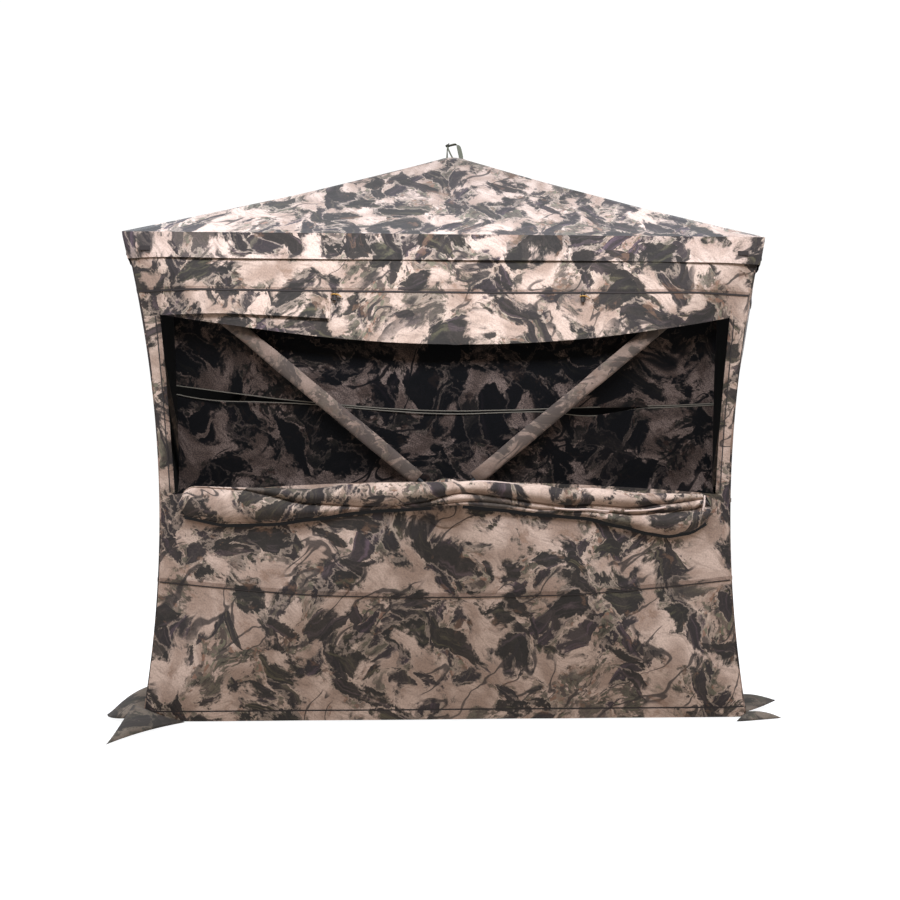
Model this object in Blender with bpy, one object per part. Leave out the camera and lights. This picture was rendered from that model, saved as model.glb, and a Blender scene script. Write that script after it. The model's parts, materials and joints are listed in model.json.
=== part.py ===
"""Pop-up ground blind: a camouflage fabric shell held out by five spring-over hubs.

Each hub carries four fibreglass rods that turn on pins in its slots and reach to the corners of
its wall (or of the roof). Metres, +Z up, origin on the ground in the middle of the floor plan.
The front wall, with the long window, faces -Y.
"""

import math

import bmesh
import bpy
from mathutils import Matrix, Vector

# ---------------------------------------------------------------- driving dimensions
WAIST_HALF = 0.730  # half width where the corner edges draw in the most
WAIST_Z = 0.51
FLARE = 0.128  # how fast the corner edges flare above and below the waist
WALL_BOTTOM_Z = 0.0045
WALL_TOP_Z = 1.215
WALL_HUB_Z = 0.553
WALL_BULGE = 0.16  # how far a wall hub stands out from the corner edges
APEX_Z = 1.680
FABRIC = 0.003  # stand-in thickness of every cloth panel
CORNER_GAP = 0.004  # cloth stops this short of a corner edge

HUB_RADIUS = 0.055
HUB_THICK = 0.035
HUB_INSET = 0.006  # from the cloth's outer face at the hub to the hub's front
HUB_FLAT = 0.060  # radius of the flat in the cloth over a hub
HUB_HOLE = 0.0385  # radius of the hole in the cloth that the cap passes through
CAP_RADIUS = 0.035
CAP_THICK = 0.0045
BOSS_RADIUS = 0.014
PIN_RING = 0.038  # radius of the circle that the rod pins stand on
PIN_RADIUS = 0.002
PIN_HOLE = 0.00215
SLOT_WIDTH = 0.0125
ROD_RADIUS = 0.005
ROD_SIDES = 10
ROD_END = 0.007  # rod beyond its pin, towards the hub's centre
ROD_UNDER_CLOTH = 0.024  # from the cloth's outer face to a rod's centre line at its tip
ROOF_TIP_REACH = 1.02  # of a roof rod, measured level from the middle
WALL_TIP_SHARE = 0.95  # of the way from the hub to the corner
GAP = 0.0004  # between pieces that touch

VALANCE_DROP = 0.066
VALANCE_OFF = 0.0062  # valance's outer face from the wall's outer face

WINDOW_SILL_Z = 0.574
WINDOW_SILL_RISE = 0.030
WINDOW_HEAD_Z = 1.022
WINDOW_HEAD_SAG = 0.082
WINDOW_HALF_SILL = 0.690
WINDOW_HALF_HEAD = 0.716

MESH_INSET = 0.048  # from the wall's outer face to the net's outer face
MESH_HALF = 0.672
MESH_THICK = 0.002

TOGGLE_LEFT_X = -0.276
TOGGLE_RIGHT_X = 0.336
TOGGLE_Z = 1.062
TOGGLE_RADIUS = 0.0055
TOGGLE_LENGTH = 0.026

DOOR_LOW_Z = 0.13  # where the door's two zip lines would meet the corner edge
DOOR_HIGH_Z = 1.02
DOOR_OUTER = 0.10  # door edges as shares of the way from the corner edge to the hub
DOOR_INNER = 0.62
DOOR_GAP = 0.003
SECTOR_OUTER = 0.055  # the hinged back panel's edges, as the same shares
SECTOR_INNER = 0.90
SECTOR_GAP = 0.012  # along the corner edge, closing up towards the hub

RINGS = (0.0, SECTOR_OUTER, DOOR_OUTER, DOOR_INNER, SECTOR_INNER, 1.0)
EDGE_LEVELS = (WALL_BOTTOM_Z, DOOR_LOW_Z, 0.33, WALL_HUB_Z, 0.78, DOOR_HIGH_Z, WALL_TOP_Z)
WIDTH_SHARES = (-1.0, 0.0, 1.0)
VALANCE_SHARES = (-1.0, -0.9, 0.0, 0.9, 1.0)

WALL_NAMES = ("front", "right", "back", "left")  # each a quarter turn on from the last

# ---------------------------------------------------------------- scene and materials


def clear_scene():
    for obj in list(bpy.data.objects):
        bpy.data.objects.remove(obj, do_unlink=True)


def make_material(name, colour, roughness, metallic=0.0):
    material = bpy.data.materials.new(name)
    material.use_nodes = True
    shader = material.node_tree.nodes["Principled BSDF"]
    shader.inputs["Base Color"].default_value = (*colour, 1.0)
    shader.inputs["Roughness"].default_value = roughness
    shader.inputs["Metallic"].default_value = metallic
    material.diffuse_color = (*colour, 1.0)
    return material


MATERIALS = {}


def make_materials():
    MATERIALS["shell_fabric"] = make_material("shell_fabric", (0.42, 0.33, 0.29), 0.9)
    MATERIALS["window_net"] = make_material("window_net", (0.06, 0.055, 0.055), 0.95)
    MATERIALS["hub_plastic"] = make_material("hub_plastic", (0.025, 0.025, 0.027), 0.5)
    MATERIALS["fibreglass"] = make_material("fibreglass", (0.05, 0.05, 0.052), 0.45)
    MATERIALS["webbing"] = make_material("webbing", (0.14, 0.13, 0.10), 0.85)
    MATERIALS["zip_metal"] = make_material("zip_metal", (0.12, 0.11, 0.10), 0.35, 0.9)
    MATERIALS["toggle_plastic"] = make_material("toggle_plastic", (0.05, 0.04, 0.03), 0.45)


def finish(obj, slot, smooth=False):
    """Links the object, gives it its material, and shades round pieces smooth."""
    if obj.name not in bpy.context.scene.collection.objects:
        bpy.context.scene.collection.objects.link(obj)
    obj.data.materials.clear()
    obj.data.materials.append(MATERIALS[slot])
    if smooth:
        obj.data.shade_smooth()
        obj.data.set_sharp_from_angle(angle=math.radians(40))
    return obj


def object_from_bmesh(name, bm):
    bmesh.ops.recalc_face_normals(bm, faces=bm.faces)
    closed = all(edge.is_manifold for edge in bm.edges)
    if closed and bm.calc_volume(signed=True) < 0:
        bmesh.ops.reverse_faces(bm, faces=bm.faces)
    mesh = bpy.data.meshes.new(name)
    bm.to_mesh(mesh)
    bm.free()
    return bpy.data.objects.new(name, mesh)


def hidden_cutter(name, bm):
    cutter = object_from_bmesh(name, bm)
    bpy.context.scene.collection.objects.link(cutter)
    cutter.hide_render = True
    cutter.display_type = "WIRE"
    return cutter


def add_boolean(obj, other, operation):
    modifier = obj.modifiers.new(operation.lower(), "BOOLEAN")
    modifier.operation = operation
    modifier.object = other
    return modifier


def add_thickness(obj, thickness):
    """Cloth grows inwards from its outer face."""
    modifier = obj.modifiers.new("cloth", "SOLIDIFY")
    modifier.thickness = thickness
    modifier.offset = -1.0
    modifier.use_even_offset = True
    return modifier


# ---------------------------------------------------------------- the shell's shape


def edge_half(z):
    """Half width of the blind at its corner edges, which are drawn in towards a waist."""
    return WAIST_HALF + FLARE * (z - WAIST_Z) ** 2


WALL_HUB_OUT = edge_half(WALL_HUB_Z) + WALL_BULGE
PANEL_GAP = DOOR_GAP / edge_half(WALL_HUB_Z)  # as a share of the way to the hub
ROOF_HALF = edge_half(WALL_TOP_Z) + VALANCE_OFF
EAVE_Z = WALL_TOP_Z + VALANCE_OFF


def wall_turn(name):
    """Turns the front wall's place into another wall's."""
    return Matrix.Rotation(WALL_NAMES.index(name) * math.pi / 2, 4, "Z")


def wall_point(x, out, z):
    """A point of the front wall: across, outwards from the middle of the blind, and up."""
    return Vector((x, -out, z))


def boundary_point(edge, along):
    """A point of the front wall's outline. edge is bottom, right, top or left."""
    if edge in ("bottom", "top"):
        z = WALL_BOTTOM_Z if edge == "bottom" else WALL_TOP_Z
        return along * (edge_half(z) - CORNER_GAP), edge_half(z), z
    side = 1.0 if edge == "right" else -1.0
    return side * (edge_half(along) - CORNER_GAP), edge_half(along), along


def ruled_point(boundary, share):
    """From the outline at share 0 straight to the rim of the flat over the hub at share 1."""
    x, out, z = boundary
    reach = math.hypot(x, z - WALL_HUB_Z)
    rim_x = x / reach * HUB_FLAT
    rim_z = WALL_HUB_Z + (z - WALL_HUB_Z) / reach * HUB_FLAT
    return wall_point(
        x + (rim_x - x) * share,
        out + (WALL_HUB_OUT - out) * share,
        z + (rim_z - z) * share,
    )


def hole_point(boundary):
    x, _, z = boundary
    reach = math.hypot(x, z - WALL_HUB_Z)
    return wall_point(
        x / reach * HUB_HOLE, WALL_HUB_OUT, WALL_HUB_Z + (z - WALL_HUB_Z) / reach * HUB_HOLE
    )


def wall_out(x, z):
    """How far out the wall's outer face stands at a place across and up the front wall."""
    up = z - WALL_HUB_Z
    reach = math.hypot(x, up)
    if reach <= HUB_FLAT:
        return WALL_HUB_OUT
    limit = WALL_TOP_Z if up > 0 else WALL_BOTTOM_Z
    grow = (limit - WALL_HUB_Z) / up if abs(up) > 1e-9 else math.inf
    if abs(x) * grow > edge_half(limit):
        # the ray meets a corner edge: abs(x) * grow = edge_half(WALL_HUB_Z + up * grow)
        a = FLARE * up * up
        b = 2 * FLARE * up * (WALL_HUB_Z - WAIST_Z) - abs(x)
        c = WAIST_HALF + FLARE * (WALL_HUB_Z - WAIST_Z) ** 2
        grow = -c / b if a < 1e-9 else (-b - math.sqrt(max(b * b - 4 * a * c, 0.0))) / (2 * a)
    edge_z = min(max(WALL_HUB_Z + up * grow, WALL_BOTTOM_Z), WALL_TOP_Z)
    far = reach * grow
    share = min(max((far - reach) / (far - HUB_FLAT), 0.0), 1.0)
    return edge_half(edge_z) * (1 - share) + WALL_HUB_OUT * share


# ---------------------------------------------------------------- cloth panels


def wall_outline():
    """The outline's points, anticlockwise from the bottom left, with the edge each starts."""
    points = [("bottom", share) for share in WIDTH_SHARES[:-1]]
    points += [("right", z) for z in EDGE_LEVELS[:-1]]
    points += [("top", share) for share in reversed(WIDTH_SHARES[1:])]
    points += [("left", z) for z in reversed(EDGE_LEVELS[1:])]
    return points


def make_wall(name, door_side=False):
    """A wall panel. One with a door side is open where the hinged door panel goes."""
    bm = bmesh.new()
    outline = wall_outline()
    rows = []
    for share in RINGS:
        rows.append([bm.verts.new(ruled_point(boundary_point(*p), share)) for p in outline])
    rows.append([bm.verts.new(hole_point(boundary_point(*p))) for p in outline])
    count = len(outline)
    door_rings = range(RINGS.index(SECTOR_OUTER), RINGS.index(SECTOR_INNER))
    for ring in range(len(rows) - 1):
        for j in range(count):
            if door_side and outline[j][0] == "right" and ring in door_rings:
                continue
            k = (j + 1) % count
            bm.faces.new((rows[ring][j], rows[ring][k], rows[ring + 1][k], rows[ring + 1][j]))
    loose = [v for v in bm.verts if not v.link_faces]
    bmesh.ops.delete(bm, geom=loose, context="VERTS")
    bm.transform(wall_turn(name))
    obj = object_from_bmesh(f"{name}_wall", bm)
    face_outwards(obj)
    add_thickness(obj, FABRIC)
    return finish(obj, "shell_fabric")


def face_outwards(obj):
    """Cloth's outer face points away from the middle of the blind."""
    mesh = obj.data
    middle = Vector((0.0, 0.0, WALL_HUB_Z))
    facing = sum((p.normal.dot(p.center - middle)) * p.area for p in mesh.polygons)
    if facing < 0:
        mesh.flip_normals()


def make_front_window(wall):
    """Cuts the long window, whose head sags in the middle."""
    bm = bmesh.new()
    steps = 8
    across = [2 * i / steps - 1 for i in range(steps + 1)]
    outline = [
        (s * WINDOW_HALF_SILL, WINDOW_SILL_Z + WINDOW_SILL_RISE * (1 - s * s)) for s in across
    ]
    outline += [
        (s * WINDOW_HALF_HEAD, WINDOW_HEAD_Z - WINDOW_HEAD_SAG * (1 - s * s))
        for s in reversed(across)
    ]
    near = [bm.verts.new((x, -1.2, z)) for x, z in outline]
    face = bm.faces.new(near)
    moved = bmesh.ops.extrude_face_region(bm, geom=[face])["geom"]
    bmesh.ops.translate(
        bm, verts=[v for v in moved if isinstance(v, bmesh.types.BMVert)], vec=(0, 0.7, 0)
    )
    add_boolean(wall, hidden_cutter("window_cutter", bm), "DIFFERENCE")


def make_panel(name, turn_name, rows, slot, thickness):
    """A cloth panel from rows of points on the front wall, turned to its own wall."""
    bm = bmesh.new()
    verts = [[bm.verts.new(p) for p in row] for row in rows]
    for a, b in zip(verts, verts[1:]):
        for j in range(len(a) - 1):
            bm.faces.new((a[j], a[j + 1], b[j + 1], b[j]))
    bm.transform(wall_turn(turn_name))
    obj = object_from_bmesh(name, bm)
    face_outwards(obj)
    add_thickness(obj, thickness)
    return finish(obj, slot)


def edge_levels(low, high):
    inner = [z for z in EDGE_LEVELS if low < z < high]
    return [low, *inner, high]


def make_door():
    """The door, a piece of the cone between two rods, zipped into the door panel."""
    levels = edge_levels(DOOR_LOW_Z, DOOR_HIGH_Z)
    levels[0] += 2 * DOOR_GAP
    levels[-1] -= 2 * DOOR_GAP
    shares = (DOOR_OUTER + PANEL_GAP, DOOR_INNER - PANEL_GAP)
    rows = [[ruled_point(boundary_point("right", z), s) for z in levels] for s in shares]
    return make_panel("back_door", "back", rows, "shell_fabric", FABRIC)


def make_door_panel():
    """The side of the back wall that holds the door and folds in and out with the back hub."""
    bm = bmesh.new()
    levels = list(EDGE_LEVELS)
    levels[0] += SECTOR_GAP
    levels[-1] -= SECTOR_GAP
    shares = (SECTOR_OUTER + PANEL_GAP, DOOR_OUTER, DOOR_INNER, SECTOR_INNER - PANEL_GAP)
    verts = [
        [bm.verts.new(ruled_point(boundary_point("right", z), s)) for z in levels] for s in shares
    ]
    for row in range(len(shares) - 1):
        for j in range(len(levels) - 1):
            doorway = row == 1 and 0 < j < len(levels) - 2
            if doorway:
                continue
            corners = (verts[row][j], verts[row][j + 1], verts[row + 1][j + 1], verts[row + 1][j])
            bm.faces.new(corners)
    bm.transform(wall_turn("back"))
    panel = object_from_bmesh("back_door_panel", bm)
    face_outwards(panel)
    add_thickness(panel, FABRIC)
    return finish(panel, "shell_fabric")


def make_roof():
    """The roof, with a valance that hangs over the tops of the walls."""
    bm = bmesh.new()
    rows = []
    valance_z = EAVE_Z - VALANCE_DROP
    for ring in ("hem", "eave", "rim", "hole"):
        row = []
        for quarter in range(4):
            turn = Matrix.Rotation(quarter * math.pi / 2, 4, "Z")
            for share in VALANCE_SHARES[:-1]:
                if ring == "hem":
                    low_half = edge_half(valance_z) + VALANCE_OFF
                    x = share * low_half
                    out = max(wall_out(x, valance_z) + VALANCE_OFF, low_half)
                    p = Vector((x, -out, valance_z))
                elif ring == "eave":
                    p = Vector((share * ROOF_HALF, -ROOF_HALF, EAVE_Z))
                else:
                    radius = HUB_FLAT if ring == "rim" else HUB_HOLE
                    flat = Vector((share, -1.0, 0.0)).normalized() * radius
                    p = Vector((flat.x, flat.y, APEX_Z))
                row.append(bm.verts.new(turn @ p))
        rows.append(row)
    count = len(rows[0])
    per_side = len(VALANCE_SHARES) - 1
    for ring, (a, b) in enumerate(zip(rows, rows[1:])):
        for j in range(count):
            k = (j + 1) % count
            if ring == 0 and j % per_side == 0:
                # the valance folds along the wall's ridge, which starts at the corner
                bm.faces.new((a[j], a[k], b[j]))
                bm.faces.new((a[k], b[k], b[j]))
            elif ring == 0 and k % per_side == 0:
                bm.faces.new((a[j], a[k], b[k]))
                bm.faces.new((a[j], b[k], b[j]))
            else:
                bm.faces.new((a[j], a[k], b[k], b[j]))
    obj = object_from_bmesh("roof_shell", bm)
    face_outwards(obj)
    add_thickness(obj, FABRIC)
    return finish(obj, "shell_fabric")


def make_net(name, low_z, high_z):
    """A net panel behind the front window, hung inside the rods."""
    columns = 12
    rows = []
    for z in (low_z, (low_z + high_z) / 2, high_z):
        row = []
        for i in range(columns + 1):
            x = MESH_HALF * (2 * i / columns - 1)
            row.append(wall_point(x, wall_out(x, z) - MESH_INSET, z))
        rows.append(row)
    return make_panel(name, "front", rows, "window_net", MESH_THICK)


def make_front_flap():
    """The window's cover, dropped and gathered along the sill, as one plain roll."""
    columns, sides = 20, 8
    half, thick = 0.700, 0.015
    bm = bmesh.new()
    loops = []
    for i in range(columns + 1):
        s = 2 * i / columns - 1
        x = s * half
        middle_z = 0.569 - 0.034 * s * s
        half_height = 0.038 + 0.012 * s * s
        over_cap = 0.026 * math.exp(-((x / 0.10) ** 2))
        loop = []
        for k in range(sides):
            turn = 2 * math.pi * (k + 0.5) / sides
            z = middle_z + half_height * math.sin(turn)
            clear = 0.0025 + over_cap + thick
            loop.append(bm.verts.new(wall_point(x, wall_out(x, z) + clear + thick * math.cos(turn), z)))
        loops.append(loop)
    for a, b in zip(loops, loops[1:]):
        for k in range(sides):
            n = (k + 1) % sides
            bm.faces.new((a[k], a[n], b[n], b[k]))
    bm.faces.new(loops[0])
    bm.faces.new(loops[-1])
    return finish(object_from_bmesh("front_window_flap", bm), "shell_fabric", smooth=True)


# ---------------------------------------------------------------- hubs and rods


def rod_ends(hub_name):
    """(label, pin place, tip place, pin axis) of the hub's four rods, in the front wall's place."""
    found = []
    if hub_name == "roof":
        for label, sx, sy in (("fl", -1, -1), ("fr", 1, -1), ("br", 1, 1), ("bl", -1, 1)):
            level = Vector((sx, sy, 0)).normalized()
            pin = level * PIN_RING + Vector((0, 0, APEX_Z - HUB_INSET - HUB_THICK / 2))
            slope = (APEX_Z - EAVE_Z) / (ROOF_HALF * math.sqrt(2) - HUB_FLAT)
            tip_z = APEX_Z - (ROOF_TIP_REACH - HUB_FLAT) * slope - ROD_UNDER_CLOTH - 0.002
            tip = level * ROOF_TIP_REACH + Vector((0, 0, tip_z))
            found.append((label, pin, tip, level.cross(Vector((0, 0, 1)))))
        return found
    hub = Vector((0, 0, WALL_HUB_Z))
    for label, side, top in (("tl", -1, True), ("tr", 1, True), ("br", 1, False), ("bl", -1, False)):
        z = WALL_TOP_Z if top else WALL_BOTTOM_Z
        corner = Vector((side * edge_half(z), 0, z)) - hub
        level = corner.normalized()
        tip_reach = corner.length * WALL_TIP_SHARE
        share = (corner.length - tip_reach) / (corner.length - HUB_FLAT)
        out = edge_half(z) * (1 - share) + WALL_HUB_OUT * share - ROD_UNDER_CLOTH
        tip = hub + level * tip_reach + Vector((0, -out, 0))
        pin = hub + level * PIN_RING + Vector((0, -(WALL_HUB_OUT - HUB_INSET - HUB_THICK / 2), 0))
        found.append((label, pin, tip, level.cross(Vector((0, -1, 0)))))
    return found


def hub_frame(hub_name):
    """The matrix whose +Z points out of the hub's cap and whose origin is the cloth's face."""
    if hub_name == "roof":
        return Matrix.Translation((0, 0, APEX_Z))
    face = Matrix.Translation((0, -WALL_HUB_OUT, WALL_HUB_Z)) @ Matrix.Rotation(math.pi / 2, 4, "X")
    return wall_turn(hub_name) @ face


def hub_turn(hub_name):
    return Matrix.Identity(4) if hub_name == "roof" else wall_turn(hub_name)


def turned(profile, sides):
    """A closed turned solid about Z from (radius, height) points that start and end at the axis."""
    bm = bmesh.new()
    verts = [bm.verts.new((r, 0, h)) for r, h in profile]
    edges = [bm.edges.new(pair) for pair in zip(verts, verts[1:])]
    bmesh.ops.spin(
        bm, geom=verts + edges, cent=(0, 0, 0), axis=(0, 0, 1), angle=2 * math.pi, steps=sides
    )
    bmesh.ops.remove_doubles(bm, verts=bm.verts, dist=0.00005)
    return bm


def box_bmesh(size, matrix):
    bm = bmesh.new()
    bmesh.ops.create_cube(bm, size=1.0)
    bmesh.ops.scale(bm, vec=size, verts=bm.verts)
    bm.transform(matrix)
    return bm


def rod_bmesh(radius, start, end, sides):
    bm = bmesh.new()
    direction = end - start
    bmesh.ops.create_cone(
        bm, cap_ends=True, segments=sides, radius1=radius, radius2=radius, depth=direction.length
    )
    place = Matrix.Translation((start + end) / 2) @ direction.to_track_quat("Z", "Y").to_matrix().to_4x4()
    bm.transform(place)
    return bm


def make_hub(hub_name):
    """The moulded hub: a disc with four slots, and a pin across each for a rod to turn on."""
    front, back = -HUB_INSET, -HUB_INSET - HUB_THICK
    edge = 0.004
    bm = turned(
        [
            (0, front),
            (HUB_RADIUS - edge, front),
            (HUB_RADIUS, front - edge),
            (HUB_RADIUS, back + edge),
            (HUB_RADIUS - edge, back),
            (0, back),
        ],
        24,
    )
    bm.transform(hub_frame(hub_name))
    hub = finish(object_from_bmesh(f"{hub_name}_hub", bm), "hub_plastic", smooth=True)
    turn = hub_turn(hub_name)
    out = hub_frame(hub_name).to_3x3() @ Vector((0, 0, 1))
    slot_start = PIN_RING - ROD_END - 0.003
    for label, pin, tip, axis in rod_ends(hub_name):
        pin, axis = turn @ pin, (turn.to_3x3() @ axis).normalized()
        along = axis.cross(out)
        if along.dot(turn @ tip - pin) < 0:
            along = -along
        cut = Matrix((along, axis, out)).transposed().to_4x4()
        length = HUB_RADIUS - slot_start + 0.01
        middle = pin + along * (slot_start + length / 2 - PIN_RING)
        cutter = box_bmesh((length, SLOT_WIDTH, HUB_THICK + 0.02), Matrix.Translation(middle) @ cut)
        add_boolean(hub, hidden_cutter(f"{hub_name}_slot_{label}", cutter), "DIFFERENCE")
    for label, pin, tip, axis in rod_ends(hub_name):
        pin, axis = turn @ pin, (turn.to_3x3() @ axis).normalized()
        reach = SLOT_WIDTH / 2 + 0.003
        bm = rod_bmesh(PIN_RADIUS, pin - axis * reach, pin + axis * reach, 12)
        add_boolean(hub, hidden_cutter(f"{hub_name}_pin_{label}", bm), "UNION")
    return hub


def make_cap(hub_name):
    """The outer plate, screwed to the hub by a boss through the hole in the cloth."""
    bm = turned(
        [
            (0, -HUB_INSET + GAP),
            (BOSS_RADIUS, -HUB_INSET + GAP),
            (BOSS_RADIUS, 0),
            (CAP_RADIUS, 0),
            (CAP_RADIUS, CAP_THICK * 0.5),
            (CAP_RADIUS - 0.004, CAP_THICK),
            (0, CAP_THICK),
        ],
        20,
    )
    bm.transform(hub_frame(hub_name))
    return finish(object_from_bmesh(f"{hub_name}_hub_cap", bm), "hub_plastic", smooth=True)


def make_pull_strap(hub_name, height):
    """A standing loop of webbing on the cap, for pulling the hub out."""
    half, band, thick = 0.0265, 0.014, 0.0025
    foot = CAP_THICK + GAP
    corner = min(half, height * 0.45)
    centre = [(-half, foot), (-half, foot + height - corner)]
    steps = 4
    for i in range(1, steps + 1):
        turn = math.pi - i * math.pi / 2 / steps
        across, up = corner * math.cos(turn), corner * math.sin(turn)
        centre.append((-half + corner + across, foot + height - corner + up))
    mirror = [(-x, z) for x, z in reversed(centre)]
    line = centre + (mirror if half > corner + 1e-6 else mirror[1:])
    bm = bmesh.new()
    loops = []
    for i, (x, z) in enumerate(line):
        before = Vector(line[max(i - 1, 0)])
        after = Vector(line[min(i + 1, len(line) - 1)])
        along = (after - before).normalized()
        normal = Vector((-along.y, along.x)) * thick / 2
        loops.append(
            [
                bm.verts.new((x + normal.x * a, b * band / 2, z + normal.y * a))
                for a, b in ((1, -1), (1, 1), (-1, 1), (-1, -1))
            ]
        )
    for a, b in zip(loops, loops[1:]):
        for k in range(4):
            n = (k + 1) % 4
            bm.faces.new((a[k], a[n], b[n], b[k]))
    bm.faces.new(loops[0])
    bm.faces.new(loops[-1])
    bm.transform(hub_frame(hub_name))
    return finish(object_from_bmesh(f"{hub_name}_pull_strap", bm), "webbing")


def make_rods(hub_name):
    """Four rods, each with its origin on its pin and a cross hole for it."""
    turn = hub_turn(hub_name)
    for label, pin, tip, axis in rod_ends(hub_name):
        pin, tip, axis = turn @ pin, turn @ tip, (turn.to_3x3() @ axis).normalized()
        along = (tip - pin).normalized()
        bm = rod_bmesh(ROD_RADIUS, Vector(), tip - pin + along * ROD_END, ROD_SIDES)
        bmesh.ops.translate(bm, verts=bm.verts, vec=-along * ROD_END)
        rod = finish(object_from_bmesh(f"{hub_name}_rod_{label}", bm), "fibreglass", smooth=True)
        rod.location = pin
        hole = rod_bmesh(PIN_HOLE, pin - axis * 0.01, pin + axis * 0.01, 12)
        add_boolean(rod, hidden_cutter(f"{hub_name}_rod_hole_{label}", hole), "DIFFERENCE")


# ---------------------------------------------------------------- corners, feet and trim


def prism(name, outline, low_z, high_z, slot):
    bm = bmesh.new()
    face = bm.faces.new([bm.verts.new((x, y, low_z)) for x, y in outline])
    moved = bmesh.ops.extrude_face_region(bm, geom=[face])["geom"]
    bmesh.ops.translate(
        bm,
        verts=[v for v in moved if isinstance(v, bmesh.types.BMVert)],
        vec=(0, 0, high_z - low_z),
    )
    return finish(object_from_bmesh(name, bm), slot)


def make_top_pocket(label, sx, sy):
    """A webbing gusset across a top corner, over the wall rods' tips."""
    half = edge_half(WALL_TOP_Z) - FABRIC - 0.006
    leg, low_z = 0.062, 1.1985
    cut = 0.012
    outline = [
        (sx * (half - cut), sy * half),
        (sx * (half - leg), sy * half),
        (sx * half, sy * (half - leg)),
        (sx * half, sy * (half - cut)),
    ]
    prism(f"top_corner_pocket_{label}", outline, low_z, low_z + 0.003, "webbing")


def make_foot(label, sx, sy, tongues):
    """A corner foot: a gusset under the corner with two pointed ground tongues."""
    half = edge_half(WALL_BOTTOM_Z)
    inner, base = 0.075, 0.135
    front_tip, side_tip = tongues
    outline = [
        (half - inner, half + 0.004),
        (half - base, half + 0.004),
        front_tip,
        (half + 0.006, half + 0.022),
        (half + 0.022, half + 0.006),
        side_tip,
        (half + 0.004, half - base),
        (half + 0.004, half - inner),
    ]
    inside = [(half - 0.020, half - inner), (half - inner, half - 0.020)]
    points = [(sx * x, sy * y) for x, y in outline + inside]
    prism(f"corner_foot_{label}", points, 0.0, 0.0035, "shell_fabric")


def make_toggle(label, x):
    """A small barrel toggle on the window's header."""
    out = wall_out(x, TOGGLE_Z) + TOGGLE_RADIUS + 0.0038
    start = wall_point(x, out, TOGGLE_Z - TOGGLE_LENGTH / 2)
    end = wall_point(x, out, TOGGLE_Z + TOGGLE_LENGTH / 2)
    bm = rod_bmesh(TOGGLE_RADIUS, start, end, 10)
    finish(object_from_bmesh(f"front_toggle_{label}", bm), "toggle_plastic", smooth=True)


def make_zip_slider():
    """The door's slider on the lower zip line, at its closed end."""
    turn = wall_turn("back")
    start = ruled_point(boundary_point("right", DOOR_LOW_Z), DOOR_OUTER + 0.03)
    end = ruled_point(boundary_point("right", DOOR_LOW_Z), DOOR_INNER)
    above = ruled_point(boundary_point("right", DOOR_LOW_Z + 0.1), DOOR_OUTER + 0.03)
    along = (end - start).normalized()
    out = along.cross(above - start).normalized()
    if out.y > 0:
        out = -out
    across = out.cross(along)
    frame = Matrix((along, across, out)).transposed().to_4x4()
    beside = start + across * 0.0085 + out * 0.0062  # clear of the door's own edge
    bm = box_bmesh((0.026, 0.011, 0.005), Matrix.Translation(beside) @ frame)
    bm.transform(turn)
    return finish(object_from_bmesh("back_door_slider", bm), "zip_metal")


def main():
    clear_scene()
    make_materials()
    make_front_window(make_wall("front"))
    make_wall("right")
    make_wall("left")
    make_wall("back", door_side=True)
    make_door_panel()
    make_door()
    make_zip_slider()
    make_roof()
    make_net("front_net_lower", 0.560, 0.822)
    make_net("front_net_upper", 0.832, 1.030)
    make_front_flap()
    make_toggle("left", TOGGLE_LEFT_X)
    make_toggle("right", TOGGLE_RIGHT_X)
    strap_heights = {"roof": 0.070, "front": 0.016, "right": 0.045, "back": 0.045, "left": 0.045}
    for hub_name, height in strap_heights.items():
        make_hub(hub_name)
        make_cap(hub_name)
        make_pull_strap(hub_name, height)
        make_rods(hub_name)
    corners = {"fl": (-1, -1), "fr": (1, -1), "br": (1, 1), "bl": (-1, 1)}
    forward = ((0.786, 0.975), (0.872, 0.690))
    sideways = ((0.850, 0.782), (0.887, 0.625))
    for label, (sx, sy) in corners.items():
        make_top_pocket(label, sx, sy)
        make_foot(label, sx, sy, forward if label in ("fl", "br") else sideways)


main()
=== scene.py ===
"""Looks of the pop-up ground blind: cloth panels, nets, sleeves, trim, materials, lights, camera.

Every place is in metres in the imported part's frame: the front wall faces -Y, the ground is z = 0.
"""

import json
import math
from itertools import groupby

import bmesh
import bpy
import numpy as np
from mathutils import Matrix, Vector, noise

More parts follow.
